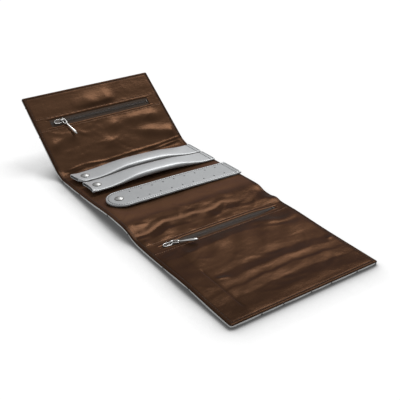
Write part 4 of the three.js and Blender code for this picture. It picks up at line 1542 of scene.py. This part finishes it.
@dataclass
class SewnStrap(Part):
    """A strap over the centre that is sewn down at its right end and snapped at its tip, in mm."""

    name: str
    stack: float = 3.9
    seat: float = 0.3
    hinge: tuple[float, float] = (4.0, -5.0)
    hinge_level: float = 1.6
    first_row: float = 2.4

    def __post_init__(self) -> None:
        """Reads the sewn end's place from the frame."""
        low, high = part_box(f"{self.name}_sewn_end")
        self.axis, self.end = low.x / MM, high.x / MM
        self.half = (high.y - low.y) / 2 / MM
        self.s = self.strip.station(f"{self.name}_sewn_end")

    def _hang(self, piece: Piece, *parts: str) -> None:
        """Bakes a piece into its mesh where it lies and hides what it stands for; it is not set to bend over
        the sewn end.

        Args:
            piece: The piece.
            parts: What it stands for of the strap's leather.
        """
        start, end = (tuple(self.strip.place(self.axis + d, self.s, self.hinge_level)) for d in self.hinge)
        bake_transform(piece)
        if parts:
            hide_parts(*(f"{self.name}_{part}" for part in parts))

    def _sew_down(self, thread: Sewing, margin: float, rows: Pairs) -> None:
        """Sews rows of stitches across the sewn end.

        Args:
            thread: The thread.
            margin: How far the rows stay from the long edges.
            rows: Where each row lies across the roll, and its height.
        """
        across = np.linspace(margin - self.half, self.half - margin, 24)
        lines = [self.strip.place(x, self.s + across, level) for x, level in rows]
        fasten(thread.sew(f"{self.name}_end_stitches", lines), Body.CENTRE.value)

    def _snap(self, thickness: float) -> None:
        """Adds the snap to a tip of that thickness."""
        Snap(self.strip, self.finishes, self.name, thickness, self.stack).build()


@dataclass
class RingBar(SewnStrap):
    """A padded leather tube, flat at its snapped tip and at its sewn end, in mm."""

    tip_round: tuple[float, float] = (2.0, 2.5)
    tip_draw: float = 0.0
    tongue: float = 22.0
    rise: float = 50.0
    fall: float = 50.0
    flat: float = 2.8
    padding: float = 5.2
    filled: float = 0.82
    swell: float = 1.6
    arch: float = 0.5
    draw_in: float = 1.5
    leather: float = 0.85
    flare: float = 1.7
    hollow: float = 0.0
    skew: float = 0.0
    sides: int = 44
    step: float = 2.2
    sharp: float = 70.0
    last_row: float = 1.8

    def __post_init__(self) -> None:
        """Reads the bar's place from the frame."""
        super().__post_init__()
        self.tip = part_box(f"{self.name}_cover")[0].x / MM

    def _rings(self) -> Array:
        """Sections of the partly filled tube, by place along the bar and place round it."""
        lead = max(self.tip_round) * (1 - np.cos(np.linspace(0, math.pi / 2, 6)))
        even = np.arange(self.tip + lead[-1], self.end, self.step)
        x = np.concatenate([self.tip + lead[:-1], even, [self.end]])
        start, stop = self.tip + self.tongue, self.axis - self.fall
        full = smooth(x, start, start + self.rise) * (1 - smooth(x, stop, self.axis))
        open_tip = 1 - smooth(x, self.tip, self.tip + 9)
        thick = (self.flat + self.padding * full * self.filled + self.flare * open_tip)[:, None]
        sunk = smooth(x, (self.tip + self.axis) / 2, self.axis)
        bottom = self.stack + self.arch * full + (self.seat - self.stack) * sunk
        drawn = self.tip_draw * (1 - smooth(x, self.tip, self.tip + 2.2 * self.tongue))
        power = (0.42 + 0.34 * full)[:, None]
        turn = 2 * math.pi * (np.arange(self.sides) + 0.5) / self.sides
        across, up = (np.sign(part) * np.abs(part) ** power for part in (np.cos(turn), np.sin(turn)))
        gaps = ((1 - np.clip((x - self.tip) / reach, 0, 1), reach) for reach in self.tip_round)
        wide = self.half - self.draw_in * full - drawn
        front, rear = ((wide - reach * (1 - np.sqrt(1 - gap**2)))[:, None] for gap, reach in gaps)
        q = np.where(across < 0, front, rear) * across
        h = bottom[:, None] + thick / 2 + thick / 2 * up
        part = q / self.half
        cut = (self.hollow * (1 - part**2) - self.skew * part) * open_tip[:, None]
        return np.stack([x[:, None] + cut, q, h], axis=-1)

    def _inflate(self, piece: Piece, held: Array) -> None:
        """Fills the tube by simulation, with its flat ends held, and keeps the swollen mesh.

        Args:
            piece: The tube, in metres.
            held: For each vertex how firmly it is held, 0 to 1.
        """
        before, cap, frames = points_of(piece), self.swell * MM, 20
        group = piece.vertex_groups.new(name="Held")
        for number, weight in enumerate(held):
            group.add([number], float(weight), "REPLACE")
        cloth = piece.modifiers.new("Filling", "CLOTH")
        cloth.settings.vertex_group_mass = "Held"
        cloth.settings.use_pressure = True
        cloth.settings.uniform_pressure_force = 4.0
        cloth.settings.mass = 0.25
        cloth.settings.tension_stiffness = cloth.settings.compression_stiffness = 22.0
        cloth.settings.shear_stiffness = 14.0
        cloth.settings.bending_stiffness = 1.2
        cloth.settings.effector_weights.gravity = 0.0
        cloth.point_cache.frame_start, cloth.point_cache.frame_end = 1, frames
        scene = bpy.context.scene
        for number in range(1, frames + 1):
            scene.frame_set(number)
        settle(piece)
        scene.frame_set(1)
        move = (points_of(piece) - before).reshape(-1, 3)
        far = np.linalg.norm(move, axis=1)
        move *= (cap * np.tanh(far / cap) / np.maximum(far, 1e-12))[:, None]
        move_points(piece, before + move.ravel())
        piece.vertex_groups.clear()

    def build(self, thread: Sewing) -> None:
        """Makes the cover with its sewn end, the stitches that hold it and its snap.

        Args:
            thread: The thread of the sewn end.
        """
        x, q, h = np.moveaxis(self._rings(), -1, 0)
        girth = np.arange(self.sides) / self.sides * 2 * (2 * self.half + 8)
        cut = np.stack(np.broadcast_arrays(x, girth + 0.5 * self.s), axis=-1)
        points = self.strip.place(x, self.s + q, h)
        faces = grid_faces(*x.shape, closed=True)[:, ::-1]
        # A lighter copy of the leather: painted light on the bars.
        leather = self.finishes.bar_leather
        piece = make_mesh(f"{self.name}_padded_cover", points, faces, leather, cut, self.sharp)
        at_tip = 1 - smooth(x, self.tip + 20, self.tip + 34)
        held = np.maximum(at_tip, smooth(x, self.axis - 20, self.axis - 8))
        self._inflate(piece, held.ravel())
        thicken(piece, self.leather * MM)
        finer = piece.modifiers.new("Finer", "SUBSURF")
        finer.levels = finer.render_levels = 1
        self._hang(settle(piece, self.sharp), "cover", "core", "sewn_end")
        level = self.seat + self.flat + 0.03
        self._sew_down(thread, 2.2, ((self.axis + self.first_row, level), (self.end - self.last_row, level)))
        self._snap(self.flat)


@dataclass
class EarringStrap(SewnStrap):
    """A flat strap of two leather layers with a round tip, a stitched border and two rows of holes, in mm."""

    name: str = "earring_strap"
    past_tip: float = 2.0
    level: float = 28.0
    thickness: float = 2.35
    border: float = 2.4
    hole_radius: float = 1.05
    hole_pitch: float = 15.5
    hole_rows: float = 20.0
    hole_count: int = 9
    hole_depth: float = 30.0
    first_hole: float = 34.5
    sharp: float = 50.0
    last_row: float = 2.0
    section: Pairs = (
        (19.0, 0.16), (14.0, 0.16), (9.0, 0.15), (5.2, 0.13), (3.5, 0.08), (2.9, -0.08), (2.4, -0.32),
        (1.9, -0.1), (1.4, 0.1), (0.8, 0.06), (0.25, -0.14), (0.0, -0.42), (0.0, -0.95), (0.32, -1.17),
        (0.0, -1.4), (0.0, -1.98), (0.3, -2.28), (1.5, -2.35), (9.0, -2.35), (19.0, -2.35),
    )

    def __post_init__(self) -> None:
        """Reads the strap's place from the frame."""
        super().__post_init__()
        self.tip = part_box(f"{self.name}_top")[0].x / MM - self.past_tip

    def _top(self, x: Number) -> Array:
        """Height of the strap's upper face: level at the snap, down to the sewn end."""
        share = np.clip((x - self.tip - self.level) / (self.axis - self.tip - self.level), 0, 1)
        sag = 0.9 * np.sin(math.pi * share) ** 2 * (1 - share)
        down = share + 0.12 * np.sin(2 * math.pi * share) / 2
        return self.stack + (self.seat - self.stack) * down + sag + self.thickness

    def _outline(self, inset: float) -> tuple[Array, Array]:
        """The outline, drawn in, from one corner of the sewn end round the tip to the other."""
        middle, reach = self.tip + self.half, self.half - inset
        run = np.linspace(self.end, middle, 60)[:-1]
        turn = np.linspace(-math.pi / 2, -3 * math.pi / 2, 49)
        x = np.concatenate([run, middle + reach * np.cos(turn), run[::-1]])
        q = np.concatenate([np.full(len(run), -reach), reach * np.sin(turn), np.full(len(run), reach)])
        return x, q

    def _leather(self, holes: Recipe) -> Piece:
        """Both layers of leather as one body with its holes, in the shared frame."""
        rows = []
        for inset, height in self.section:
            x, q = self._outline(np.interp(inset, (0, 5.2, 19), (0, 5.2, self.half)))
            rows.append(np.stack([x, q, self._top(x) + height], axis=-1))
        grid = np.stack(rows, axis=1)
        count, depth = grid.shape[:2]
        end = [*range(depth), *range(count * depth - 1, (count - 1) * depth - 1, -1)]
        faces, cut = [*grid_faces(count, depth), end], grid[..., :2] + np.array([0.0, 40.0])
        leather = self.finishes.leather
        piece = make_mesh(f"{self.name}_leather", grid, faces, leather, cut, self.sharp)
        face_out(piece, 1e-4)
        rows_at = {"First": self.tip + self.first_hole, "Rows apart": self.hole_rows}
        line = {"Pitch": self.hole_pitch, "Count": self.hole_count}
        bore = {"Radius": self.hole_radius, "Depth": self.hole_depth}
        settle(holes.put_on(piece, Material=leather, **rows_at, **line, **bore), self.sharp)
        return lay(piece, self.strip, self.s)

    def build(self, thread: Sewing, holes: Recipe) -> None:
        """Makes the strap with its holes, its stitches and its snap.

        Args:
            thread: The thread of the border and of the sewn end.
            holes: What punches the holes.
        """
        self._hang(self._leather(holes), "top", "backing", "sewn_end")
        x, q = (part[2:-2] for part in self._outline(self.border))
        line = self.strip.place(x, self.s + q, self._top(x) - 0.16)
        self._hang(thread.sew(f"{self.name}_border_stitches", [line]))
        rows = (self.axis + self.first_row, self.end - self.last_row)
        self._sew_down(thread, 3.5, tuple((x, self._top(x) + 0.06) for x in rows))
        self._snap(self.thickness + 0.1)


def along_curve(knots: Any, count: int) -> Array:
    """Points evenly by number along straight lines between knots, as rows."""
    knots = np.asarray(knots, float)
    t = np.linspace(0, len(knots) - 1, count)
    return np.stack([np.interp(t, range(len(knots)), column) for column in knots.T], axis=-1)


@dataclass
class Zip(Part):
    """A coil zip in its window: tapes, interlocked coils, stop, slider, link and drop pull, in mm."""

    window: Window
    coil_width: float = 2.9
    coil_height: float = 1.05
    coil_middle: float = -0.62
    wire: float = 0.27
    pitch: float = 1.3
    tape_width: float = 11.2
    tape_level: float = -0.78
    tape_wall: float = 0.32
    tape_past: float = 5.0
    bead: Pairs = (
        (0.35, -0.3), (0.8, -0.25), (1.5, -0.2), (2.2, -0.05), (2.6, 0.1), (3.2, 0.16),
        (3.8, 0.1), (4.6, 0.02), (5.6, 0.0), (7.0, 0.0), (9.0, 0.0),
    )
    reach: float = 5.5
    link_level: float = 1.978
    link_half: float = 2.15
    link_wire: float = 0.53
    tip_up: float = 5.8
    crest: float = 3.33
    drop: Pairs = (
        (1.35, 0.7), (2.0, 0.72), (2.6, 0.72), (4.0, 0.8), (6.0, 0.98), (8.5, 1.22), (11.0, 1.45),
        (13.5, 1.6), (15.5, 1.66), (17.3, 1.6), (18.8, 1.42), (20.0, 1.12), (20.9, 0.68), (21.4, 0.2),
    )

    def __post_init__(self) -> None:
        """Reads the slider's, link's and pull's places from the frame."""
        joints = {joint["name"]: np.array(joint["pos_m"]) for joint in frame["joints"] if "pos_m" in joint}
        side, s = self.window.side, self.window.s
        low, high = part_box(f"{side}_zip_slider")
        self.slider_left, self.slider_right = low.x / MM, high.x / MM
        self.stop_left, self.stop_right = (corner.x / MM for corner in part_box(f"{side}_zip_stop"))
        self.leg = joints[f"{side}_link_turn"][0] / MM
        lean = (joints[f"{side}_pull_swing"] - joints[f"{side}_link_turn"]) / MM
        along = lean[1:] @ (self.strip.place(0, s + 1, 0) - self.strip.place(0, s, 0))[1:]
        self.turn = math.atan2(math.copysign(math.sqrt(max(self.reach**2 - lean[0] ** 2, 0)), along), lean[0])

    def _tape(self, way: int, name: str) -> Piece:
        """One woven tape with a thicker beaded edge under the coil, on the flat."""
        across, rise = unpaired((*self.bead, (self.tape_width, 0.0)))
        left, right = self.window.left - self.tape_past, self.window.right + self.tape_past
        x, q = crossings(np.arange(left, right + 0.01, 2.0), across)
        points = np.stack([x, way * q, np.broadcast_to(self.tape_level + rise, q.shape)], axis=-1)
        faces, cut = grid_faces(*x.shape)[:, ::way], side_by_side(x, q * way)
        piece = make_mesh(f"{self.window.side}_zip_woven_tape_{name}", points, faces, self.finishes.tape, cut)
        thicken(piece, self.tape_wall, even=False)
        return settle(piece)

    def _coil(self, way: int, name: str, recipe: Recipe) -> Piece:
        """One spiral coil that reaches just past the zip's middle, on the flat."""
        left, right = self.window.left + 0.4, self.stop_left - 0.2
        seed = linked(f"{self.window.side}_zip_spiral_{name}", bpy.data.meshes.new("seed"))
        winding = {"Run": right - left - self.pitch, "Turns": (right - left) / self.pitch}
        section = {"Width": self.coil_width, "Height": self.coil_height, "Wire": self.wire}
        piece = settle(recipe.put_on(seed, Material=self.finishes.coil, **winding, **section), 80)
        shift = left + (self.pitch / 2 if way > 0 else 0.0)
        piece.data.transform(Matrix.Translation((shift, way * (self.coil_width / 2 - 0.5), self.coil_middle)))
        return piece

    def _outline(self, grow: float) -> Array:
        """The slider's oval outline, moved out by grow, wider at its mouth."""
        turn = round_angles(40)
        along, beside = (np.sign(part) * np.abs(part) ** 0.8 for part in (np.cos(turn), np.sin(turn)))
        reach, middle = (self.slider_right - self.slider_left) / 2, (self.slider_right + self.slider_left) / 2
        return np.column_stack([middle + (reach + grow) * along, (3.3 - 0.5 * along + grow) * beside])

    def _plate(
        self, name: str, material: Material, low: float, high: float, crown: float, grow: float
    ) -> Piece:
        """A slider plate with eased edges.

        Args:
            name: The plate's name.
            material: Its finish.
            low: The underside's level.
            high: The upper side's level at its edge.
            crown: How far its middle is above that.
            grow: How far the outline is moved out.

        Returns:
            The plate on the flat.
        """
        outline = self._outline(grow)
        middle = outline.mean(0)
        section = (
            (0.9, low), (0.985, low + 0.08), (1.0, low + 0.18), (1.0, high - 0.22), (0.97, high - 0.06),
            (0.9, high), (0.55, high + crown * 0.7), (0.12, high + crown),
        )
        rings = []
        for share, height in section:
            flat = middle + (outline - middle) * share
            rings.append(np.column_stack([flat, np.full(len(flat), height)]))
        return lofted(name, np.array(rings), material)

    def _slider(self) -> Piece:
        """A raised rim, a lower plate, a post between them and a round bridge for the link."""
        metal, leg, crest = self.finishes.metal, self.leg, self.crest
        edge = self._outline(-0.55)
        ring = np.column_stack([edge, np.full(len(edge), 0.72)])
        top = lofted("rim", rings_about(ring, (0, 0, 1), 0.62, 0.55, 12, True), metal, True)
        bottom = self._plate("bottom", metal, -1.72, -1.3, -0.01, -0.1)
        foot = leg - 3.7
        arch = (
            (foot, 0.5), (foot, 1.6), (foot + 0.1, 2.5), (foot + 0.5, 3.05), (foot + 1.1, crest),
            (leg - 1.4, crest), (leg - 0.6, 3.1), (leg - 0.12, 2.5), (leg, 1.6), (leg, 0.5),
        )
        path = along_curve([(x, 0.0, z) for x, z in arch], 34)
        wide = np.interp(np.linspace(0, len(arch) - 1, len(path)), (0, 4, 9), (0.9, 1.0, 0.8))
        bridge = lofted("bridge", rings_about(path, (0, 1, 0), wide, 0.46, 14), metal)
        upright = [(self.slider_left + 3.0, 0, z) for z in (-1.6, -0.6, 0.4)]
        post = lofted("post", rings_about(upright, (0, 1, 0), 0.38, 1.4, 12), metal)
        return joined(f"{self.window.side}_zip_slider_body", [top, bottom, bridge, post])

    def _link(self) -> Piece:
        """A round wire link, from the bridge's leg to the pull's eye, along its own x."""
        half, reach = self.link_half, self.reach
        bend = np.linspace(math.pi / 2, 3 * math.pi / 2, 17)
        curve = [(half * math.cos(a), half * math.sin(a)) for a in bend]
        corner = [(reach - 0.7, -half), (reach - 0.15, 0.2 - half), (reach, 0.75 - half)]
        side = [(1.8, -half), (3.4, -half), *corner]
        back = [(x, -y) for x, y in reversed(side)]
        path = [(x, y, self.link_level) for x, y in (*curve, *side, (reach, 0.0), *back)]
        rings = rings_about(path, (0, 0, 1), self.link_wire, self.link_wire, 12, True)
        return lofted(f"{self.window.side}_zip_wire_link", rings, self.finishes.metal, True)

    def _pull(self) -> Piece:
        """A slim drop with a rolled eye, along its own x from the link's far bar."""
        metal = self.finishes.metal
        x, r = along_curve(self.drop, 40).T
        path = np.stack([x, 0 * x, 0 * x], axis=-1)
        drop = lofted("drop", rings_about(path, (0, 1, 0), r * 1.02, r * 0.95, 24), metal)
        angle = round_angles(28)
        ring = np.stack([1.33 * np.cos(angle), 0 * angle, 1.33 * np.sin(angle)], axis=-1)
        eye = lofted("eye", rings_about(ring, (0, 1, 0), 1.15, 0.32, 14, True), metal, True)
        return joined(f"{self.window.side}_zip_drop_pull", [drop, eye])

    def _stop(self) -> Piece:
        """The bar that ends the zip, in the dark plate: painted shade at the window's end."""
        middle, knots = (self.stop_left + self.stop_right) / 2, 9
        path = [(middle, y, -0.6) for y in np.linspace(-2.3, 2.3, knots)]
        girth = 0.55 + 0.12 * np.sin(np.linspace(0, math.pi, knots))
        rings = rings_about(path, (1, 0, 0), 1.3, girth, 16)
        return lofted(f"{self.window.side}_zip_end_stop", rings, self.finishes.dark_metal)

    def build(self, recipe: Recipe) -> None:
        """Makes every piece of the zip and lets each move with its body.

        Args:
            recipe: What winds the coils.
        """
        side, s, strip = self.window.side, self.window.s, self.strip
        flap, node = f"{side}_flap", f"{side}_zip"
        length = self.window.right - self.window.left + 2 * self.tape_past
        for way, name in ((1, "rear"), (-1, "front")):
            tape = lay(self._tape(way, name), strip, s, True)
            fasten(tape, flap, Slot.TAPE, f"{node}_tape_{name}")
            coil = lay(self._coil(way, name, recipe), strip, s, True)
            fasten(coil, flap, Slot.COIL, f"{node}_coil_{name}")
            self.tape_width * MM
            length * MM
        fasten(lay(self._stop(), strip, s), flap, Slot.METAL, f"{node}_stop")
        fasten(lay(self._slider(), strip, s), f"{side}_slider", Slot.METAL, f"{node}_slider")
        # A dark plate in the slider's middle: painted shade under the bridge.
        face = self._plate(f"{node}_slider_face", self.finishes.dark_metal, 0.1, 0.6, 0.12, 0.0)
        fasten(lay(face, strip, s), f"{side}_slider")
        link, pull = self._link(), self._pull()
        swing = Matrix.Translation((self.leg, 0, 0)) @ Matrix.Rotation(self.turn, 4, "Z")
        tilt = Matrix.Rotation(math.radians(-self.tip_up), 4, "Y")
        link.data.transform(swing)
        pull.data.transform(swing @ Matrix.Translation((self.reach, 0, self.link_level)) @ tilt)
        for piece, name in ((link, "link"), (pull, "pull")):
            fasten(lay(piece, strip, s), f"{side}_{name}", Slot.METAL, f"{node}_{name}")


@dataclass
class Inside(Part):
    """What lies between the lining and the leather: pocket backs, cards and the centre's foam, in mm."""

    cell: float = 3.0
    inset: float = 1.6

    def _layer(
        self, name: str, node: str, material: Material, top: float, thick: float, wave: float
    ) -> tuple[Piece, tuple[float, float]]:
        """A soft sheet over the plan of a CAD node.

        Args:
            name: The sheet's name.
            node: The CAD node.
            material: The finish.
            top: The level of the upper face.
            thick: The thickness.
            wave: How far the sheet waves.

        Returns:
            The sheet, and its flat width and length in metres.
        """
        low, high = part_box(node)
        left, right = low.x / MM, high.x / MM
        run = math.hypot(high.y - low.y, high.z - low.z) / MM
        middle = self.strip.station(node)
        first, last = middle - run / 2 + self.inset, middle + run / 2 - self.inset
        for stretch in stretches(self.strip):
            first = stretch.crease + stretch.reach if abs(first - stretch.crease) < stretch.reach else first
            last = stretch.crease - stretch.reach if abs(last - stretch.crease) < stretch.reach else last
        xs = np.linspace(left + self.inset, right - self.inset, int((right - left) / self.cell))
        ss = np.linspace(first, last, int(run / self.cell))
        x, s = crossings(xs, ss)
        points = self.strip.raised(x, s, top + wave * np.sin(x / 17) * np.cos(s / 13))
        piece = make_mesh(name, points, grid_faces(*x.shape), material, side_by_side(x, s))
        thicken(piece, thick * MM)
        return settle(piece), ((xs[-1] - xs[0]) * MM, (ss[-1] - ss[0]) * MM)

    def build(self) -> None:
        """Makes the pocket backs, the stiffening cards and the foam."""
        for flap, side in ((Body.BACK_FLAP.value, "back"), (Body.FRONT_FLAP.value, "front")):
            node, card = f"{flap}_pocket_back", f"{side}_card"
            cloth, size = self._layer(f"{side}_pocket_cloth", node, self.finishes.pocket, -1.98, 0.25, 0.05)
            fasten(cloth, flap, Slot.POCKET, node)
            board, _ = self._layer(card, f"{flap}_board", self.finishes.board, -2.27, 0.25, 0.0)
            fasten(board, flap, Slot.BOARD, f"{flap}_board")
        foam, _ = self._layer("centre_foam", "centre_padding", self.finishes.foam, -0.9, 1.6, 0.05)
        fasten(foam, Body.CENTRE.value, Slot.FOAM, "centre_padding")


@dataclass
class Studio:
    """A white floor, one soft key light, a plain fill, and the camera at the photograph's angle."""

    eye: Triple = (-0.4198, -0.6554, 0.4257)
    aim: Triple = (0.0172, -0.0201, 0.0043)
    lens: float = 66.77
    floor_size: float = 6.0
    floor_level: float = -0.0002
    floor_glow: float = 0.45
    shade_from: Triple = (0.55, 0.6, 0.58)
    shade_reach: float = 0.029
    shade_depth: float = 1.85
    shade_least: float = 0.16
    key_from: Triple = (0.548, 0.283, 0.787)
    key_spread: float = 31.0
    key_strength: float = 2.3
    fill_strength: float = 0.55

    @staticmethod
    def _face(placed: Piece, way: Vector) -> None:
        """Turns a lamp or a camera to look one way."""
        placed.rotation_euler = way.to_track_quat("-Z", "Y").to_euler()

    def _floor(self) -> None:
        """A pale floor that reads white beside the roll, with the lamp's shadow and a painted shadow near the
        roll's left and front edges.
        """
        finish = Finish("white_floor")
        black, white = (0.0, 0.0, 0.0, 1.0), (1.0, 1.0, 1.0, 1.0)
        rays = finish.node("ShaderNodeLightPath", output="Is Camera Ray")
        seen = rays.maths("MAXIMUM", rays, rays.sibling("Is Glossy Ray"))
        speck = finish.noise(finish.in_space(), 0.01, 3.0)
        # Painted shadow: occlusion towards the back right darkens the floor's colour and its glow beside the
        # roll.
        facing = finish.node("ShaderNodeCombineXYZ", dict(enumerate(self.shade_from)))
        near = {"Distance": self.shade_reach, "Normal": facing}
        open_sky = finish.node("ShaderNodeAmbientOcclusion", near, "AO", samples=16)
        lit = 1.0 - self.shade_depth * (1.0 - open_sky)
        shade = lit.maths("MAXIMUM", lit, self.shade_least)
        paper = finish.blend(speck, (0.93, 0.93, 0.93, 1), (0.96, 0.96, 0.96, 1))
        matt = finish.node("ShaderNodeBsdfDiffuse", {"Color": finish.blend(shade, black, paper)})
        glow = finish.node("ShaderNodeEmission", {"Color": finish.blend(shade, black, white)})
        mixed = finish.node("ShaderNodeMixShader", {0: seen * self.floor_glow, 1: matt, 2: glow})
        finish.node("ShaderNodeOutputMaterial", {"Surface": mixed})
        half = self.floor_size / 2
        corners = [(x * half, y * half, self.floor_level) for x, y in ((-1, -1), (1, -1), (1, 1), (-1, 1))]
        make_mesh("floor", np.array(corners), [(0, 1, 2, 3)], finish.material)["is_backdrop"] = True

    def _world(self) -> None:
        """White where the camera or a reflection meets it, and a plain soft fill for everything else."""
        world = bpy.data.worlds.new("studio")
        bpy.context.scene.world = world
        world.use_nodes = True
        graph = Graph(world.node_tree)
        path = rays = graph.node("ShaderNodeLightPath", output="Is Camera Ray")
        for kind in ("Is Glossy Ray", "Is Transmission Ray"):
            rays = rays.maths("MAXIMUM", rays, path.sibling(kind))
        fill, glow = (
            graph.node("ShaderNodeBackground", {"Color": (1, 1, 1, 1), "Strength": strength})
            for strength in (self.fill_strength, 1.0)
        )
        mixed = graph.node("ShaderNodeMixShader", {0: rays, 1: fill, 2: glow})
        graph.node("ShaderNodeOutputWorld", {"Surface": mixed})

    def build(self) -> None:
        """Sets up floor, light and camera."""
        self._floor()
        self._world()
        key = bpy.data.lights.new("key", "SUN")
        key.angle, key.energy = math.radians(self.key_spread), self.key_strength
        self._face(linked("key", key), -Vector(self.key_from))
        lens = bpy.data.cameras.new("camera")
        lens.lens = self.lens
        camera = linked("camera", lens)
        camera.location = self.eye
        self._face(camera, Vector(self.aim) - Vector(self.eye))
        bpy.context.scene.camera = camera
        bpy.context.scene.view_settings.view_transform = "Standard"


def main() -> None:
    """Builds and dresses every sub-assembly and reports the pieces."""
    logging.basicConfig(level=logging.INFO, format="%(name)s: %(message)s")
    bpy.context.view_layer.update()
    Studio().build()
    strip, finishes, stitches = Strip(), Finishes(), stitch_recipe()
    windows = (Window.from_frame(strip, "back", 5.9, 5.4, 8), Window.from_frame(strip, "front", 5.2, 1.8, 34))
    quilter = Sewing(stitches, finishes.grey_thread, 3.0, 2.3, 0.7)
    binder = Sewing(stitches, finishes.grey_thread, 0.8, 1.4, 0.85)
    leathers = Shell(strip, finishes).build(quilter, binder)
    hems = Sewing(stitches, finishes.brown_thread, 2.7, 1.8, 0.45)
    rows = Sewing(stitches, finishes.gold_thread, 2.6, 1.5, 0.65)
    Lining(strip, finishes, windows).build(leathers, hems, rows)
    Inside(strip, finishes).build()
    borders = Sewing(stitches, finishes.grey_thread, 2.9, 2.1, 1.05)
    RingBar(strip, finishes, "ring_bar_rear", tip_round=(9.0, 2.5), tip_draw=1.5, skew=2.5).build(borders)
    RingBar(strip, finishes, "ring_bar_front", hollow=2.4).build(borders)
    EarringStrap(strip, finishes).build(borders, hole_recipe())
    coil = coil_recipe()
    for window in windows:
        Zip(strip, finishes, window).build(coil)
    for name in ("ring_bar_rear", "ring_bar_front", "earring_strap"):
        rivet = frame["nodes"][f"{name}_snap_rivet"]
        rivet.data.materials.clear()
        rivet.data.materials.append(finishes.metal)
    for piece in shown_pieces():
        LOG.info("%s: %d faces", piece.name, len(piece.data.polygons))


if __name__ == "__main__":
    main()
